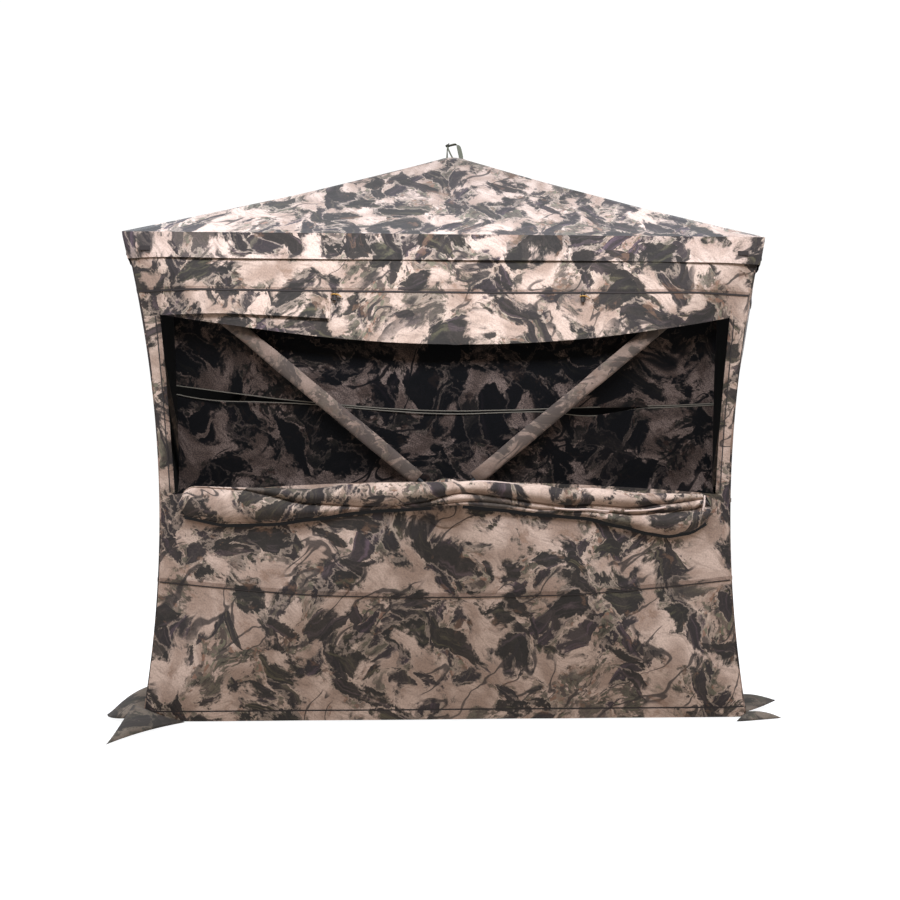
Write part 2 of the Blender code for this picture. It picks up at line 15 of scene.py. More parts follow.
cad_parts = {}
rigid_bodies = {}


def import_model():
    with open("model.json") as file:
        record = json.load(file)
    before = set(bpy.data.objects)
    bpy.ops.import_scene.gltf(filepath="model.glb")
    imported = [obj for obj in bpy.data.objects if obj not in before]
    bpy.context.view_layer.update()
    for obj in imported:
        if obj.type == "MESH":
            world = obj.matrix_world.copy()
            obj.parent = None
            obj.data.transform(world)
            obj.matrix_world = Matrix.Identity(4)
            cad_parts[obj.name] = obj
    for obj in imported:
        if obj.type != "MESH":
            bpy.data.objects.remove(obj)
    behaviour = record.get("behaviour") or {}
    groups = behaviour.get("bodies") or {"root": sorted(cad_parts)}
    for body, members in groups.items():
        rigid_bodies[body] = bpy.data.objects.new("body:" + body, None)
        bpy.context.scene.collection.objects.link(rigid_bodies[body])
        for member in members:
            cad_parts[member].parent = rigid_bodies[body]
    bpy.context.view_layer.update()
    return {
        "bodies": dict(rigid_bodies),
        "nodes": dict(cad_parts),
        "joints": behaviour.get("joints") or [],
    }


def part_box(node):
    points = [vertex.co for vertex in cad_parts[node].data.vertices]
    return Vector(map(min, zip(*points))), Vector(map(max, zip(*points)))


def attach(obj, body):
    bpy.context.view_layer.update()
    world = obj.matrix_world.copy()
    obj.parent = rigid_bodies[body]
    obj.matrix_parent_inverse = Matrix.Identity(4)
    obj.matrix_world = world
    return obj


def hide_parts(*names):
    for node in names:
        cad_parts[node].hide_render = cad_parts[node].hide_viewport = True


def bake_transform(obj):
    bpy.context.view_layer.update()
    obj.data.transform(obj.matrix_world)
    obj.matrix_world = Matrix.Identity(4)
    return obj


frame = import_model()

# ---------------------------------------------------------------- the shell's shape
WAIST_HALF = 0.730
WAIST_Z = 0.51
FLARE = 0.128
WALL_BOTTOM_Z = 0.0045
WALL_TOP_Z = 1.215
HUB_Z = 0.553
HUB_FLAT = 0.060
HUB_HOLE = 0.0385
WALL_BULGE = 0.16
APEX_Z = 1.680
PIN_RING = 0.038
ROOF_TIP_REACH = 1.02
VALANCE_DROP = 0.066
VALANCE_OFF = 0.0062
EAVE_Z = WALL_TOP_Z + VALANCE_OFF
CORNER_GAP = 0.002
CLOTH = 0.0009
RIDGE_ROUNDING = 0.020
RIPPLE = 0.0028

SILL_Z = 0.574
SILL_RISE = 0.030
HEAD_Z = 1.022
HEAD_SAG = 0.082
SILL_HALF = 0.690
HEAD_HALF = 0.716
HEADER_SEAM_Z = 1.079
HEADER_LAYER_WIDE = 0.425
HEM_Z = 0.017
HEM_STITCH_Z = 0.0308
LOWER_SEAM_Z = 0.358
LOWER_SEAM_SAG = 0.030

DOOR_LOW_Z = 0.13
DOOR_HIGH_Z = 1.02
DOOR_OUTER = 0.10
DOOR_INNER = 0.62
TAPE_OFF = 0.0085  # middle of a zip tape from the doorway's edge

NET_HALF = 0.694
NET_INSET = 0.048
NET_BINDING = 0.0022
SLEEVE_HALF = 0.0185
SLEEVE_THICK = 0.0062

WALLS = ("front", "right", "back", "left")
CORNERS = {"fl": (-1, -1), "fr": (1, -1), "br": (1, 1), "bl": (-1, 1)}


def edge_half(z):
    """Half width of the blind at its corner edges."""
    return WAIST_HALF + FLARE * (z - WAIST_Z) ** 2


HUB_OUT = edge_half(HUB_Z) + WALL_BULGE
ROOF_HALF = edge_half(WALL_TOP_Z) + VALANCE_OFF


def quarter_turn(quarter, size=3):
    return Matrix.Rotation(quarter * math.pi / 2, size, "Z")


def wall_turn(name):
    return quarter_turn(WALLS.index(name), 4)


def wall_sample(x, z):
    """Share of the way from the wall's outline to its hub, and how far out its face is there."""
    up = z - HUB_Z
    reach = math.hypot(x, up)
    if reach <= HUB_FLAT:
        return 1.0, HUB_OUT
    limit = WALL_TOP_Z if up > 0 else WALL_BOTTOM_Z
    grow = (limit - HUB_Z) / up if abs(up) > 1e-9 else math.inf
    if abs(x) * grow > edge_half(limit):
        a = FLARE * up * up
        b = 2 * FLARE * up * (HUB_Z - WAIST_Z) - abs(x)
        c = WAIST_HALF + FLARE * (HUB_Z - WAIST_Z) ** 2
        grow = -c / b if a < 1e-9 else (-b - math.sqrt(max(b * b - 4 * a * c, 0.0))) / (2 * a)
    edge_z = min(max(HUB_Z + up * grow, WALL_BOTTOM_Z), WALL_TOP_Z)
    far = reach * grow
    share = min(max((far - reach) / (far - HUB_FLAT), 0.0), 1.0)
    return share, edge_half(edge_z) * (1 - share) + HUB_OUT * share


def soft_out(x, z):
    """The wall's face with its ridges rounded over, as cloth takes them."""
    total = 2 * wall_sample(x, z)[1]
    for k in range(6):
        turn = math.pi * k / 3
        dx, dz = RIDGE_ROUNDING * math.cos(turn), RIDGE_ROUNDING * math.sin(turn)
        inside = min(max(x + dx, -edge_half(z)), edge_half(z))
        total += wall_sample(inside, min(max(z + dz, WALL_BOTTOM_Z), WALL_TOP_Z))[1]
    return total / 8


def ripple(x, z, seed):
    """Slight unevenness of hung cloth: a broad wander and finer pulls."""
    broad = noise.noise(Vector((x * 3.1, z * 3.4, seed)))
    fine = noise.noise(Vector((x * 9.0 + 5, z * 12.0, seed + 7)))
    return RIPPLE * (1.5 * broad + 0.5 * fine)


def wall_share(point, name):
    """The share of a point on or by a wall, whichever wall it is."""
    p = wall_turn(name).inverted() @ Vector(point)
    return wall_sample(p.x, min(max(p.z, WALL_BOTTOM_Z), WALL_TOP_Z))[0]


def roof_share(point):
    """The share of a point on the roof. Over a rod, the share falls to nothing at the rod's tip."""
    reach = math.hypot(point[0], point[1])
    if reach <= HUB_FLAT:
        return 1.0
    widest = max(abs(point[0]), abs(point[1]))
    far = min(reach * ROOF_HALF / widest, ROOF_TIP_REACH)
    with_rods = (far - reach) / (far - PIN_RING)
    near_hub = min((reach - HUB_FLAT) / HUB_FLAT, 1.0)
    return max(1 + (with_rods - 1) * near_hub, 0.0)


# ---------------------------------------------------------------- materials


def srgb(red, green, blue):
    """An 8-bit screen colour as linear light."""
    return tuple(
        c / 12.92 if c <= 0.04045 else ((c + 0.055) / 1.055) ** 2.4
        for c in (red / 255, green / 255, blue / 255)
    )


class Tree:
    """Adds nodes to a tree and links them; a value is a number, a colour or another's output."""

    def __init__(self, tree):
        self.tree = tree

    def node(self, kind, inputs=(), **settings):
        made = self.tree.nodes.new(kind)
        for key, value in settings.items():
            setattr(made, key, value)
        self.put_all(made.inputs, dict(inputs))
        return made

    def put_all(self, sockets, values):
        for key, value in values.items():
            self.put(sockets[key], value)

    def put(self, socket, value):
        if isinstance(value, bpy.types.NodeSocket):
            self.tree.links.new(value, socket)
        else:
            socket.default_value = value

    def math(self, operation, a, b=0.0):
        return self.node("ShaderNodeMath", {0: a, 1: b}, operation=operation).outputs[0]

    def times(self, a, b):
        return self.math("MULTIPLY", a, b)

    def plus(self, a, b):
        return self.math("ADD", a, b)

    def vector(self, operation, a, b):
        return self.node("ShaderNodeVectorMath", {0: a, 1: b}, operation=operation).outputs[0]

    def mix(self, factor, a, b, blend="MIX"):
        made = self.node("ShaderNodeMix", data_type="RGBA", blend_type=blend)
        colours = [s for s in made.inputs if s.type == "RGBA"]
        self.put(made.inputs["Factor"], factor)
        self.put(colours[0], a if isinstance(a, bpy.types.NodeSocket) else (*a, 1.0))
        self.put(colours[1], b if isinstance(b, bpy.types.NodeSocket) else (*b, 1.0))
        return next(s for s in made.outputs if s.type == "RGBA")

    def step(self, value, low, high):
        """0 below low, 1 above high, eased between."""
        made = self.node(
            "ShaderNodeMapRange",
            {"Value": value, "From Min": low, "From Max": high},
            interpolation_type="SMOOTHSTEP",
        )
        return made.outputs["Result"]

    def printed_at(self):
        """The place on the printed cloth, across and along it."""
        return self.node("ShaderNodeAttribute", attribute_name="print_at").outputs["Vector"]

    def noise(self, vector, scale, detail=2.0, roughness=0.5):
        settings = {"Vector": vector, "Scale": scale, "Detail": detail, "Roughness": roughness}
        return self.node("ShaderNodeTexNoise", settings)

    def grey(self, *settings):
        return self.noise(*settings).outputs["Fac"]

    def cells(self, vector, scale, randomness):
        """A Voronoi pattern, and three random numbers that are the same all over each cell."""
        settings = {"Vector": vector, "Scale": scale, "Randomness": randomness}
        pattern = self.node("ShaderNodeTexVoronoi", settings)
        chances = self.node("ShaderNodeSeparateColor", {0: pattern.outputs["Color"]}).outputs
        return pattern, chances


def shifted(tree, vector, offset):
    return tree.vector("ADD", vector, offset)


def warped(tree, vector, scale, amount, detail=2.0):
    """The vector pushed about by a coloured noise."""
    colour = tree.noise(vector, scale, detail).outputs["Color"]
    centred = tree.vector("SUBTRACT", colour, (0.5, 0.5, 0.5))
    pushed = tree.node("ShaderNodeVectorMath", {0: centred, "Scale": amount}, operation="SCALE")
    return tree.vector("ADD", vector, pushed.outputs[0])


def laid(tree, vector, turn, size, offset=0.0):
    """The place turned about the cloth's normal, then scaled; a big scale makes a small print."""
    place = {"Vector": vector, "Location": (offset, offset * 0.7, 0), "Rotation": (0, 0, turn)}
    turned = tree.node("ShaderNodeMapping", place).outputs["Vector"]
    return tree.vector("MULTIPLY", turned, (*size, 1.0))


def camo_group():
    """The printed pattern: pale ground, leaf litter, dark leaves and sticks, rust flecks.

    It is laid out over the cloth's own width and length, kept on each point as print_at.
    """
    group = bpy.data.node_groups.new("camo_print", "ShaderNodeTree")
    group.interface.new_socket("Color", in_out="OUTPUT", socket_type="NodeSocketColor")
    group.interface.new_socket("Grain", in_out="OUTPUT", socket_type="NodeSocketFloat")
    t = Tree(group)
    place = t.printed_at()
    broad = warped(t, place, 4.0, 0.17)
    curled = warped(t, broad, 13.0, 0.040)
    frayed = warped(t, curled, 60.0, 0.011, 3.0)
    grain = t.grey(place, 230.0, 3.0, 0.7)
    fine = t.grey(curled, 80.0, 3.0, 0.65)
    fine_off = t.math("SUBTRACT", fine, 0.5)

    soft = t.grey(curled, 11.0, 2.0, 0.5)
    ground = t.mix(t.step(soft, 0.36, 0.62), srgb(152, 128, 112), srgb(190, 166, 150))
    brushed = t.grey(laid(t, curled, 0.6, (26, 120)), 1.0, 3.0, 0.6)
    ground = t.mix(t.times(t.step(brushed, 0.46, 0.72), 0.5), ground, srgb(120, 102, 89))
    open_ground = t.grey(shifted(t, curled, (8.4, 1.9, 0)), 9.0, 2.0, 0.5)
    covered = t.step(t.plus(open_ground, t.times(fine_off, 0.25)), 0.59, 0.52)

    litter_at = t.grey(shifted(t, curled, (3.1, 7.7, 0)), 10.0, 3.0, 0.6)
    litter = t.step(t.plus(litter_at, t.times(fine_off, 0.45)), 0.475, 0.525)
    _, pick = t.cells(frayed, 105.0, 1.0)
    scrap = t.mix(t.step(pick[0], 0.3, 0.75), srgb(128, 110, 94), srgb(76, 66, 56))
    scrap = t.mix(t.step(pick[1], 0.60, 0.72), scrap, srgb(32, 26, 23))
    scrap = t.mix(t.step(pick[2], 0.84, 0.90), scrap, srgb(112, 80, 62))
    scrap = t.mix(t.step(pick[2], 0.16, 0.10), scrap, srgb(84, 84, 64))
    litter = t.times(litter, t.times(covered, 0.85))
    colour = t.mix(litter, ground, scrap)

    moss_at = t.grey(shifted(t, frayed, (2.2, 8.8, 0)), 10.0, 4.0, 0.62)
    moss = t.step(t.plus(moss_at, t.times(fine_off, 0.30)), 0.52, 0.57)
    moss_tone = t.mix(t.step(fine, 0.42, 0.60), srgb(30, 27, 22), srgb(88, 82, 68))
    colour = t.mix(t.times(moss, t.times(covered, 0.85)), colour, moss_tone)

    for turn, offset, size, kept, tone in (
        (0.70, 0.0, (19.0, 6.0), 0.52, (31, 25, 29)),
        (-0.45, 5.3, (22.0, 5.5), 0.52, (26, 21, 23)),
        (2.05, 9.1, (20.0, 6.5), 0.42, (24, 20, 17)),
        (1.40, 3.7, (13.0, 9.0), 0.36, (23, 21, 19)),
    ):
        leaning = laid(t, frayed, turn, size, offset)
        leaf, chance = t.cells(leaning, 1.0, 0.9)
        reach = t.plus(leaf.outputs["Distance"], t.times(fine_off, 0.42))
        shown = t.times(t.step(chance[0], kept + 0.02, kept - 0.02), covered)
        rim = t.times(t.step(reach, 0.62, 0.55), shown)
        shape = t.times(t.step(reach, 0.545, 0.49), shown)
        streaks = t.vector("MULTIPLY", leaning, (4.0, 0.9, 1.0))
        streaks = t.grey(streaks, 1.0, 3.0, 0.65)
        purplish = srgb(*[c + step for c, step in zip(tone, (46, 36, 40))])
        olive = srgb(*[c + step for c, step in zip(tone, (48, 46, 30))])
        paler = t.mix(t.step(chance[1], 0.48, 0.56), purplish, olive)
        darker = srgb(*[0.62 * c for c in tone])
        plain = t.mix(t.step(streaks, 0.36, 0.46), darker, srgb(*tone))
        body = t.mix(t.step(streaks, 0.50, 0.70), plain, paler)
        colour = t.mix(t.times(rim, 0.40), colour, srgb(186, 164, 146))
        colour = t.mix(t.times(shape, 0.94), colour, body)

    twig_at = t.grey(laid(t, curled, 0.9, (12, 4)), 1.0, 2.0, 0.5)
    twig = t.step(t.math("ABSOLUTE", t.math("SUBTRACT", twig_at, 0.5)), 0.020, 0.008)
    twig_on = t.step(t.grey(shifted(t, broad, (4, 4, 0)), 5.0, 1.0), 0.48, 0.54)
    colour = t.mix(t.times(t.times(twig, twig_on), 0.85), colour, srgb(44, 38, 36))

    rust = t.grey(shifted(t, frayed, (7.7, 0.3, 0)), 16.0, 4.0, 0.65)
    colour = t.mix(t.times(t.step(rust, 0.59, 0.67), 0.45), colour, srgb(118, 88, 68))
    speck = t.mix(t.step(grain, 0.30, 0.72), (0.80, 0.80, 0.80), (1.14, 1.13, 1.12))
    colour = t.mix(1.0, colour, speck, "MULTIPLY")
    out = t.node("NodeGroupOutput")
    t.put(out.inputs["Color"], colour)
    t.put(out.inputs["Grain"], grain)
    return group


CAMO = camo_group()


def new_material(name):
    """A material, its tree and its shader's sockets."""
    material = bpy.data.materials.new(name)
    material.use_nodes = True
    shader = material.node_tree.nodes["Principled BSDF"]
    return material, Tree(material.node_tree), shader.inputs


def bumped(tree, strength, distance, height):
    bump = {"Strength": strength, "Distance": distance, "Height": height}
    return tree.node("ShaderNodeBump", bump).outputs["Normal"]


def camo_material(name, tint=(1, 1, 1), bump=0.3, wash=0.0):
    """Cloth printed with the pattern, multiplied by a tint; wash fades it towards plain tan."""
    material, t, sockets = new_material(name)
    printed = t.node("ShaderNodeGroup", node_tree=CAMO)
    colour = printed.outputs["Color"]
    if wash:
        colour = t.mix(wash, colour, srgb(160, 142, 128))
    creases = t.grey(t.printed_at(), 14.0, 3.0, 0.55)
    height = t.plus(t.times(printed.outputs["Grain"], 0.10), creases)
    look = {
        "Base Color": t.mix(1.0, colour, tint, "MULTIPLY"),
        "Roughness": 0.85,
        "Specular IOR Level": 0.3,
        "Sheen Weight": 0.06,
        "Sheen Roughness": 0.35,
        "Normal": bumped(t, bump, 0.008, height),
    }
    t.put_all(sockets, look)
    return material


def plain_material(name, colour, roughness=0.6, metallic=0.0, specular=0.3, weave=0.0):
    """One colour; weave darkens patches of its grain by that share."""
    material, t, sockets = new_material(name)
    look = {
        "Base Color": (*colour, 1.0),
        "Roughness": roughness,
        "Metallic": metallic,
        "Specular IOR Level": specular,
    }
    t.put_all(sockets, look)
    if weave:
        grain = t.grey(t.printed_at(), 900.0, 2.0)
        tone = t.mix(t.step(grain, 0.35, 0.65), [c * (1 - weave) for c in colour], colour)
        t.put(sockets["Base Color"], tone)
    return material


def net_material():
    """See-through netting seen from outside: the same print, much darker, over black; the black
    between its threads is painted shade of the dark inside seen through it.
    """
    material, t, sockets = new_material("blind_window_net")
    colour = t.node("ShaderNodeGroup", node_tree=CAMO).outputs["Color"]
    bright = t.node("ShaderNodeRGBToBW", {0: colour}).outputs[0]
    dimming = t.mix(bright, (0.02, 0.02, 0.025), (0.68, 0.66, 0.69))
    thread = t.mix(1.0, colour, dimming, "MULTIPLY")
    holes = t.grey(t.printed_at(), 420.0, 1.0)
    covered = t.plus(0.45, t.times(t.step(holes, 0.35, 0.65), 0.55))
    look = {
        # Painted shade: near-black between the threads for the dark inside behind the net.
        "Base Color": t.mix(covered, srgb(9, 10, 14), thread),
        "Roughness": 0.95,
        "Specular IOR Level": 0.1,
        "Normal": bumped(t, 0.4, 0.001, holes),
    }
    t.put_all(sockets, look)
    return material


CLOTH_OUT = camo_material("blind_camo")
CLOTH_IN = plain_material("blind_black_backing", srgb(22, 22, 23), 0.7)
# Painted light: the roof's copy of the print is a little darker and cooler, standing in for how the
# light falls on the roof.
ROOF_PAINTED_LIGHT = camo_material("blind_camo_roof_painted_light", tint=(0.93, 0.97, 1.02))
# Painted light: the valance's copy of the print is brightened and cooled for the light falling on it
# from above and in front.
VALANCE_PAINTED_LIGHT = camo_material("blind_camo_valance_painted_light", tint=(1.10, 1.12, 1.16))
NET = net_material()
# Partly painted highlight: a pale cord that is the cover's bound edge and also paints the highlights
# along its fold crests.
PALE_BINDING_AND_HIGHLIGHT = plain_material("blind_cover_binding_and_highlight", srgb(206, 182, 168), 0.9, weave=0.25)
NET_EDGE = plain_material("blind_net_binding", srgb(96, 90, 80), 0.9, weave=0.3)
SLEEVE = camo_material("blind_sleeve_camo", tint=(0.47, 0.44, 0.43), bump=0.35, wash=0.28)
TONGUE = camo_material("blind_tongue_camo", tint=(0.26, 0.27, 0.25), bump=0.3, wash=0.2)
SEAM = camo_material("blind_seam_camo", tint=(0.62, 0.58, 0.56))
# Dark thread for stitches and bar tacks, also used for the painted shadow strip under each lower
# seam.
STITCH_AND_SHADOW_DARK = plain_material("blind_stitch_and_painted_shadow", srgb(46, 40, 38), 0.95)
HUB_BLACK = plain_material("blind_hub_nylon", srgb(30, 30, 32), 0.45, specular=0.45)
ROD_DARK = plain_material("blind_fibreglass", srgb(30, 30, 30), 0.6, specular=0.3)
WEBBING = plain_material("blind_webbing", srgb(92, 92, 78), 0.85, weave=0.35)
WEBBING_DARK = plain_material("blind_webbing_dark", srgb(48, 46, 40), 0.85, weave=0.35)
TOGGLE = plain_material("blind_toggle", srgb(34, 26, 20), 0.4, specular=0.5)
THREAD = plain_material("blind_tan_cord", srgb(176, 132, 66), 0.8)
ZIP = plain_material("blind_zip_metal", srgb(60, 58, 54), 0.35, metallic=0.9)
ZIP_TAPE = plain_material("blind_zip_tape", srgb(40, 38, 36), 0.85, weave=0.3)

# ---------------------------------------------------------------- mesh helpers


def span(low, high, count):
    """Evenly spaced values, count steps from low to high."""
    return [low + (high - low) * i / count for i in range(count + 1)]


def circle(count):
    """The angles of evenly spaced points round a circle."""
    return [2 * math.pi * k / count for k in range(count)]


def give(obj, body):
    """Puts the piece on the body it rides on."""
    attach(obj, body)


def smooth(obj, sharpest):
    obj.data.shade_smooth()
    obj.data.set_sharp_from_angle(angle=math.radians(sharpest))


def new_object(name, bm, materials):
    mesh = bpy.data.meshes.new(name)
    bm.to_mesh(mesh)
    bm.free()
    obj = bpy.data.objects.new(name, mesh)
    bpy.context.scene.collection.objects.link(obj)
    for material in materials:
        mesh.materials.append(material)
    return obj


def print_by_place(obj):
    """Lays the print over a small piece by where it stands."""
    mesh = obj.data
    if "print_at" in mesh.attributes:
        mesh.attributes.remove(mesh.attributes["print_at"])
    spots = mesh.attributes.new("print_at", "FLOAT_VECTOR", "POINT")
    co = np.empty(len(mesh.vertices) * 3, np.float32)
    mesh.vertices.foreach_get("co", co)
    co = co.reshape(-1, 3)
    flat = np.stack([co[:, 0] + 0.6 * co[:, 1], co[:, 2] + 0.3 * co[:, 1], 0 * co[:, 0]], axis=1)
    spots.data.foreach_set("vector", flat.astype(np.float32).ravel())
    return obj


def thicken(obj, thickness=CLOTH, inner=1):
    """Gives cloth its thickness inwards from its outer face; inner is its inside's material."""
    modifier = obj.modifiers.new("cloth", "SOLIDIFY")
    modifier.thickness = thickness
    modifier.offset = -1.0
    modifier.material_offset = inner
    modifier.use_quality_normals = True
    apply_modifiers(obj)


def apply_modifiers(obj):
    evaluated = obj.evaluated_get(bpy.context.evaluated_depsgraph_get())
    mesh = bpy.data.meshes.new_from_object(evaluated)
    obj.modifiers.clear()
    old = obj.data
    obj.data = mesh
    bpy.data.meshes.remove(old)


def grid_bmesh(rows, keep=None, closed=False, print_of=None):
    """A quad net through rows of points. keep(row, column) says which cells are there.

    print_of(row, column, point) is the place on the printed cloth, (across, along).
    """
    bm = bmesh.new()
    printed = bm.verts.layers.float_vector.new("print_at")
    verts = [[bm.verts.new(p) for p in row] for row in rows]
    for i, row in enumerate(verts):
        for j, vert in enumerate(row):
            spot = print_of(i, j, vert.co) if print_of else (vert.co.x, vert.co.z)
            vert[printed] = (*spot, 0.0)
    for i in range(len(rows) - 1):
        count = len(rows[i])
        for j in range(count if closed else count - 1):
            if keep and not keep(i, j):
                continue
            k = (j + 1) % count
            bm.faces.new((verts[i][j], verts[i][k], verts[i + 1][k], verts[i + 1][j]))
    loose = [v for v in bm.verts if not v.link_faces]
    bmesh.ops.delete(bm, geom=loose, context="VERTS")
    return bm


def face_away(bm, middle):
    """Turns an open net's faces to look away from a point."""
    bm.normal_update()
    facing = sum(f.normal.dot(f.calc_center_median() - middle) * f.calc_area() for f in bm.faces)
    if facing < 0:
        bmesh.ops.reverse_faces(bm, faces=bm.faces)


MIDDLE = Vector((0.0, 0.0, 0.7))


def cloth(
    name, rows, materials, keep=None, closed=False, turn=None, thickness=CLOTH, print_of=None
):
    """A piece of cloth through rows of points, printed on the side away from the blind's middle."""
    bm = grid_bmesh(rows, keep, closed, print_of)
    if turn is not None:
        bm.transform(turn)
    face_away(bm, MIDDLE)
    obj = new_object(name, bm, materials)
    thicken(obj, thickness, inner=len(materials) - 1)
    smooth(obj, 50)
    return obj


def follow_hub(obj, share_of):
    """Bakes the cloth's place into its mesh and works out how much each point would move with its
    hub, by how near the hub it is; the shares are not kept.
    """
    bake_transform(obj)
    weights = np.array([share_of(v.co) for v in obj.data.vertices], np.float32)


def follow_wall(obj, name):
    follow_hub(obj, lambda p: wall_share(p, name))


# ---------------------------------------------------------------- the front wall


def window_half(z):
    share = (z - SILL_Z) / (HEAD_Z - SILL_Z)
    return SILL_HALF + (HEAD_HALF - SILL_HALF) * min(max(share, -0.3), 1.2)


def sill_z(s):
    return SILL_Z + SILL_RISE * (1 - s * s)


def head_z(s):
    """The window's head sags in the middle, a little more to the right of it."""
    sag = (1 - s * s) * (1 + 0.08 * s)
    return HEAD_Z - HEAD_SAG * sag


def front_out(x, z):
    """The front wall's face with the slack cloth over the window hanging forward a little."""
    out = soft_out(x, z) + ripple(x, z, 1.0)
    over = (z - head_z(min(max(x / HEAD_HALF, -1), 1))) / 0.16
    if 0 <= over <= 1 and abs(x) < HEAD_HALF:
        s = x / HEAD_HALF
        out += 0.008 * (1 - over) ** 2 * (1 - s * s)
    return out


def front_rows():
    side, mid = 5, 64
    low, open_rows, top = 26, 20, 14
    rows = []
    for i in range(low + open_rows + top + 1):
        row = []
        for j in range(2 * side + mid + 1):
            s = min(max((j - side) / mid * 2 - 1, -1.0), 1.0)
            if i <= low:
                z = WALL_BOTTOM_Z + (sill_z(s) - WALL_BOTTOM_Z) * i / low
            elif i <= low + open_rows:
                z = sill_z(s) + (head_z(s) - sill_z(s)) * (i - low) / open_rows
            else:
                z = head_z(s) + (WALL_TOP_Z - head_z(s)) * (i - low - open_rows) / top
            half = edge_half(z) - CORNER_GAP
            opening = min(window_half(z), half - 0.03)
            if j < side:
                x = -half + (half - opening) * j / side
            elif j > side + mid:
                x = opening + (half - opening) * (j - side - mid) / side
            else:
                x = s * opening
            row.append(Vector((x, -front_out(x, z), z)))
        rows.append(row)

    def keep(i, j):
        in_window = low <= i < low + open_rows and side <= j < side + mid
        middle = (rows[i][j] + rows[i + 1][j + 1]) / 2
        near_hub = math.hypot(middle.x, middle.z - HUB_Z) < 0.022
        return not in_window and not near_hub

    return rows, keep


def build_front_wall():
    rows, keep = front_rows()
    wall = cloth("front_wall_cloth", rows, [CLOTH_OUT, CLOTH_IN], keep)
    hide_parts("front_wall")
    follow_wall(wall, "front")


# ---------------------------------------------------------------- the other walls and the roof


def boundary_points(side_levels, across):
    """The wall's outline as (x, out, z), anticlockwise from the bottom left."""
    points = []
    half = edge_half(WALL_BOTTOM_Z) - CORNER_GAP
    for i in range(across):
        points.append((half * (2 * i / across - 1), edge_half(WALL_BOTTOM_Z), WALL_BOTTOM_Z))
    points += [side_point(z) for z in side_levels[:-1]]
    half = edge_half(WALL_TOP_Z) - CORNER_GAP
    for i in range(across):
        points.append((half * (1 - 2 * i / across), edge_half(WALL_TOP_Z), WALL_TOP_Z))
    for z in reversed(side_levels[1:]):
        points.append((-edge_half(z) + CORNER_GAP, edge_half(z), z))
    return points


def side_point(z):
    """The outline's point on the right corner edge."""
    return edge_half(z) - CORNER_GAP, edge_half(z), z


def ruled(point, share):
    """From a point of the outline straight towards the flat over the hub."""
    x, out, z = point
    reach = math.hypot(x, z - HUB_Z)
    rim_x, rim_z = x / reach * HUB_FLAT, HUB_Z + (z - HUB_Z) / reach * HUB_FLAT
    return x + (rim_x - x) * share, out + (HUB_OUT - out) * share, z + (rim_z - z) * share


def on_wall(x, out, z, seed):
    """A point of a wall, with its ridges rounded and the cloth's unevenness added."""
    share, flat_out = wall_sample(x, z)
    rounded = out + (soft_out(x, z) - flat_out)
    return Vector((x, -(rounded + ripple(x, z, seed) * min(1, 6 * share * (1 - share))), z))


def side_levels():
    """Heights along a corner edge, with the door's two among them."""
    low = span(WALL_BOTTOM_Z, DOOR_LOW_Z, 5)[:-1]
    door = span(DOOR_LOW_Z, DOOR_HIGH_Z, 34)[:-1]
    return low + door + span(DOOR_HIGH_Z, WALL_TOP_Z, 8)


# rings of cells between the corner edge and the door, and across the door
OUTER_STEPS = 4
DOOR_STEPS = 20


def share_steps():
    outer = span(0, DOOR_OUTER, OUTER_STEPS)[:-1]
    door = span(DOOR_OUTER, DOOR_INNER, DOOR_STEPS)[:-1]
    return outer + door + span(DOOR_INNER, 1, 14)


def wall_seed(name):
    """Sets each wall's unevenness and print apart from the others'."""
    return 10.0 + WALLS.index(name)


def build_plain_wall(name, with_door=False):
    levels, across = side_levels(), 48
    outline = boundary_points(levels, across)
    seed = wall_seed(name)
    rows = [[on_wall(*ruled(p, s), seed) for p in outline] for s in share_steps()]
    rim = []
    for x, _, z in outline:
        reach = math.hypot(x, z - HUB_Z)
        place = x / reach * HUB_HOLE, HUB_Z + (z - HUB_Z) / reach * HUB_HOLE
        rim.append(Vector((place[0], -HUB_OUT, place[1])))
    rows.append(rim)
    door_low = across + levels.index(DOOR_LOW_Z)
    door_high = across + levels.index(DOOR_HIGH_Z)

    def keep(i, j):
        beside = OUTER_STEPS <= i < OUTER_STEPS + DOOR_STEPS
        doorway = beside and door_low <= j < door_high
        return not (with_door and doorway)

    wall = cloth(
        f"{name}_wall_cloth",
        rows,
        [CLOTH_OUT, CLOTH_IN],
        keep,
        closed=True,
        turn=wall_turn(name),
        print_of=lambda i, j, p: (p.x + seed, p.z),
    )
    nodes = [f"{name}_wall"] + (["back_door_panel"] if with_door else [])
    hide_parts(*nodes)
    follow_wall(wall, name)


def build_door():
    levels = [z for z in side_levels() if DOOR_LOW_Z <= z <= DOOR_HIGH_Z]
    shares = [s for s in share_steps() if DOOR_OUTER <= s <= DOOR_INNER + 1e-9]
    seed = wall_seed("back")
    rows = []
    for s in shares:
        s = min(max(s, DOOR_OUTER + 0.003), DOOR_INNER - 0.003)
        row = []
        for level in levels:
            edge_z = min(max(level, DOOR_LOW_Z + 0.004), DOOR_HIGH_Z - 0.004)
            x, out, z = ruled(side_point(edge_z), s)
            row.append(on_wall(x, out, z, seed))
        rows.append(row)
    door = cloth(
        "back_door_cloth",
        rows,
        [CLOTH_OUT, CLOTH_IN],
        turn=wall_turn("back"),
        print_of=lambda i, j, p: (p.x + seed, p.z),
    )
    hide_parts("back_door")
    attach(door, "back_door")


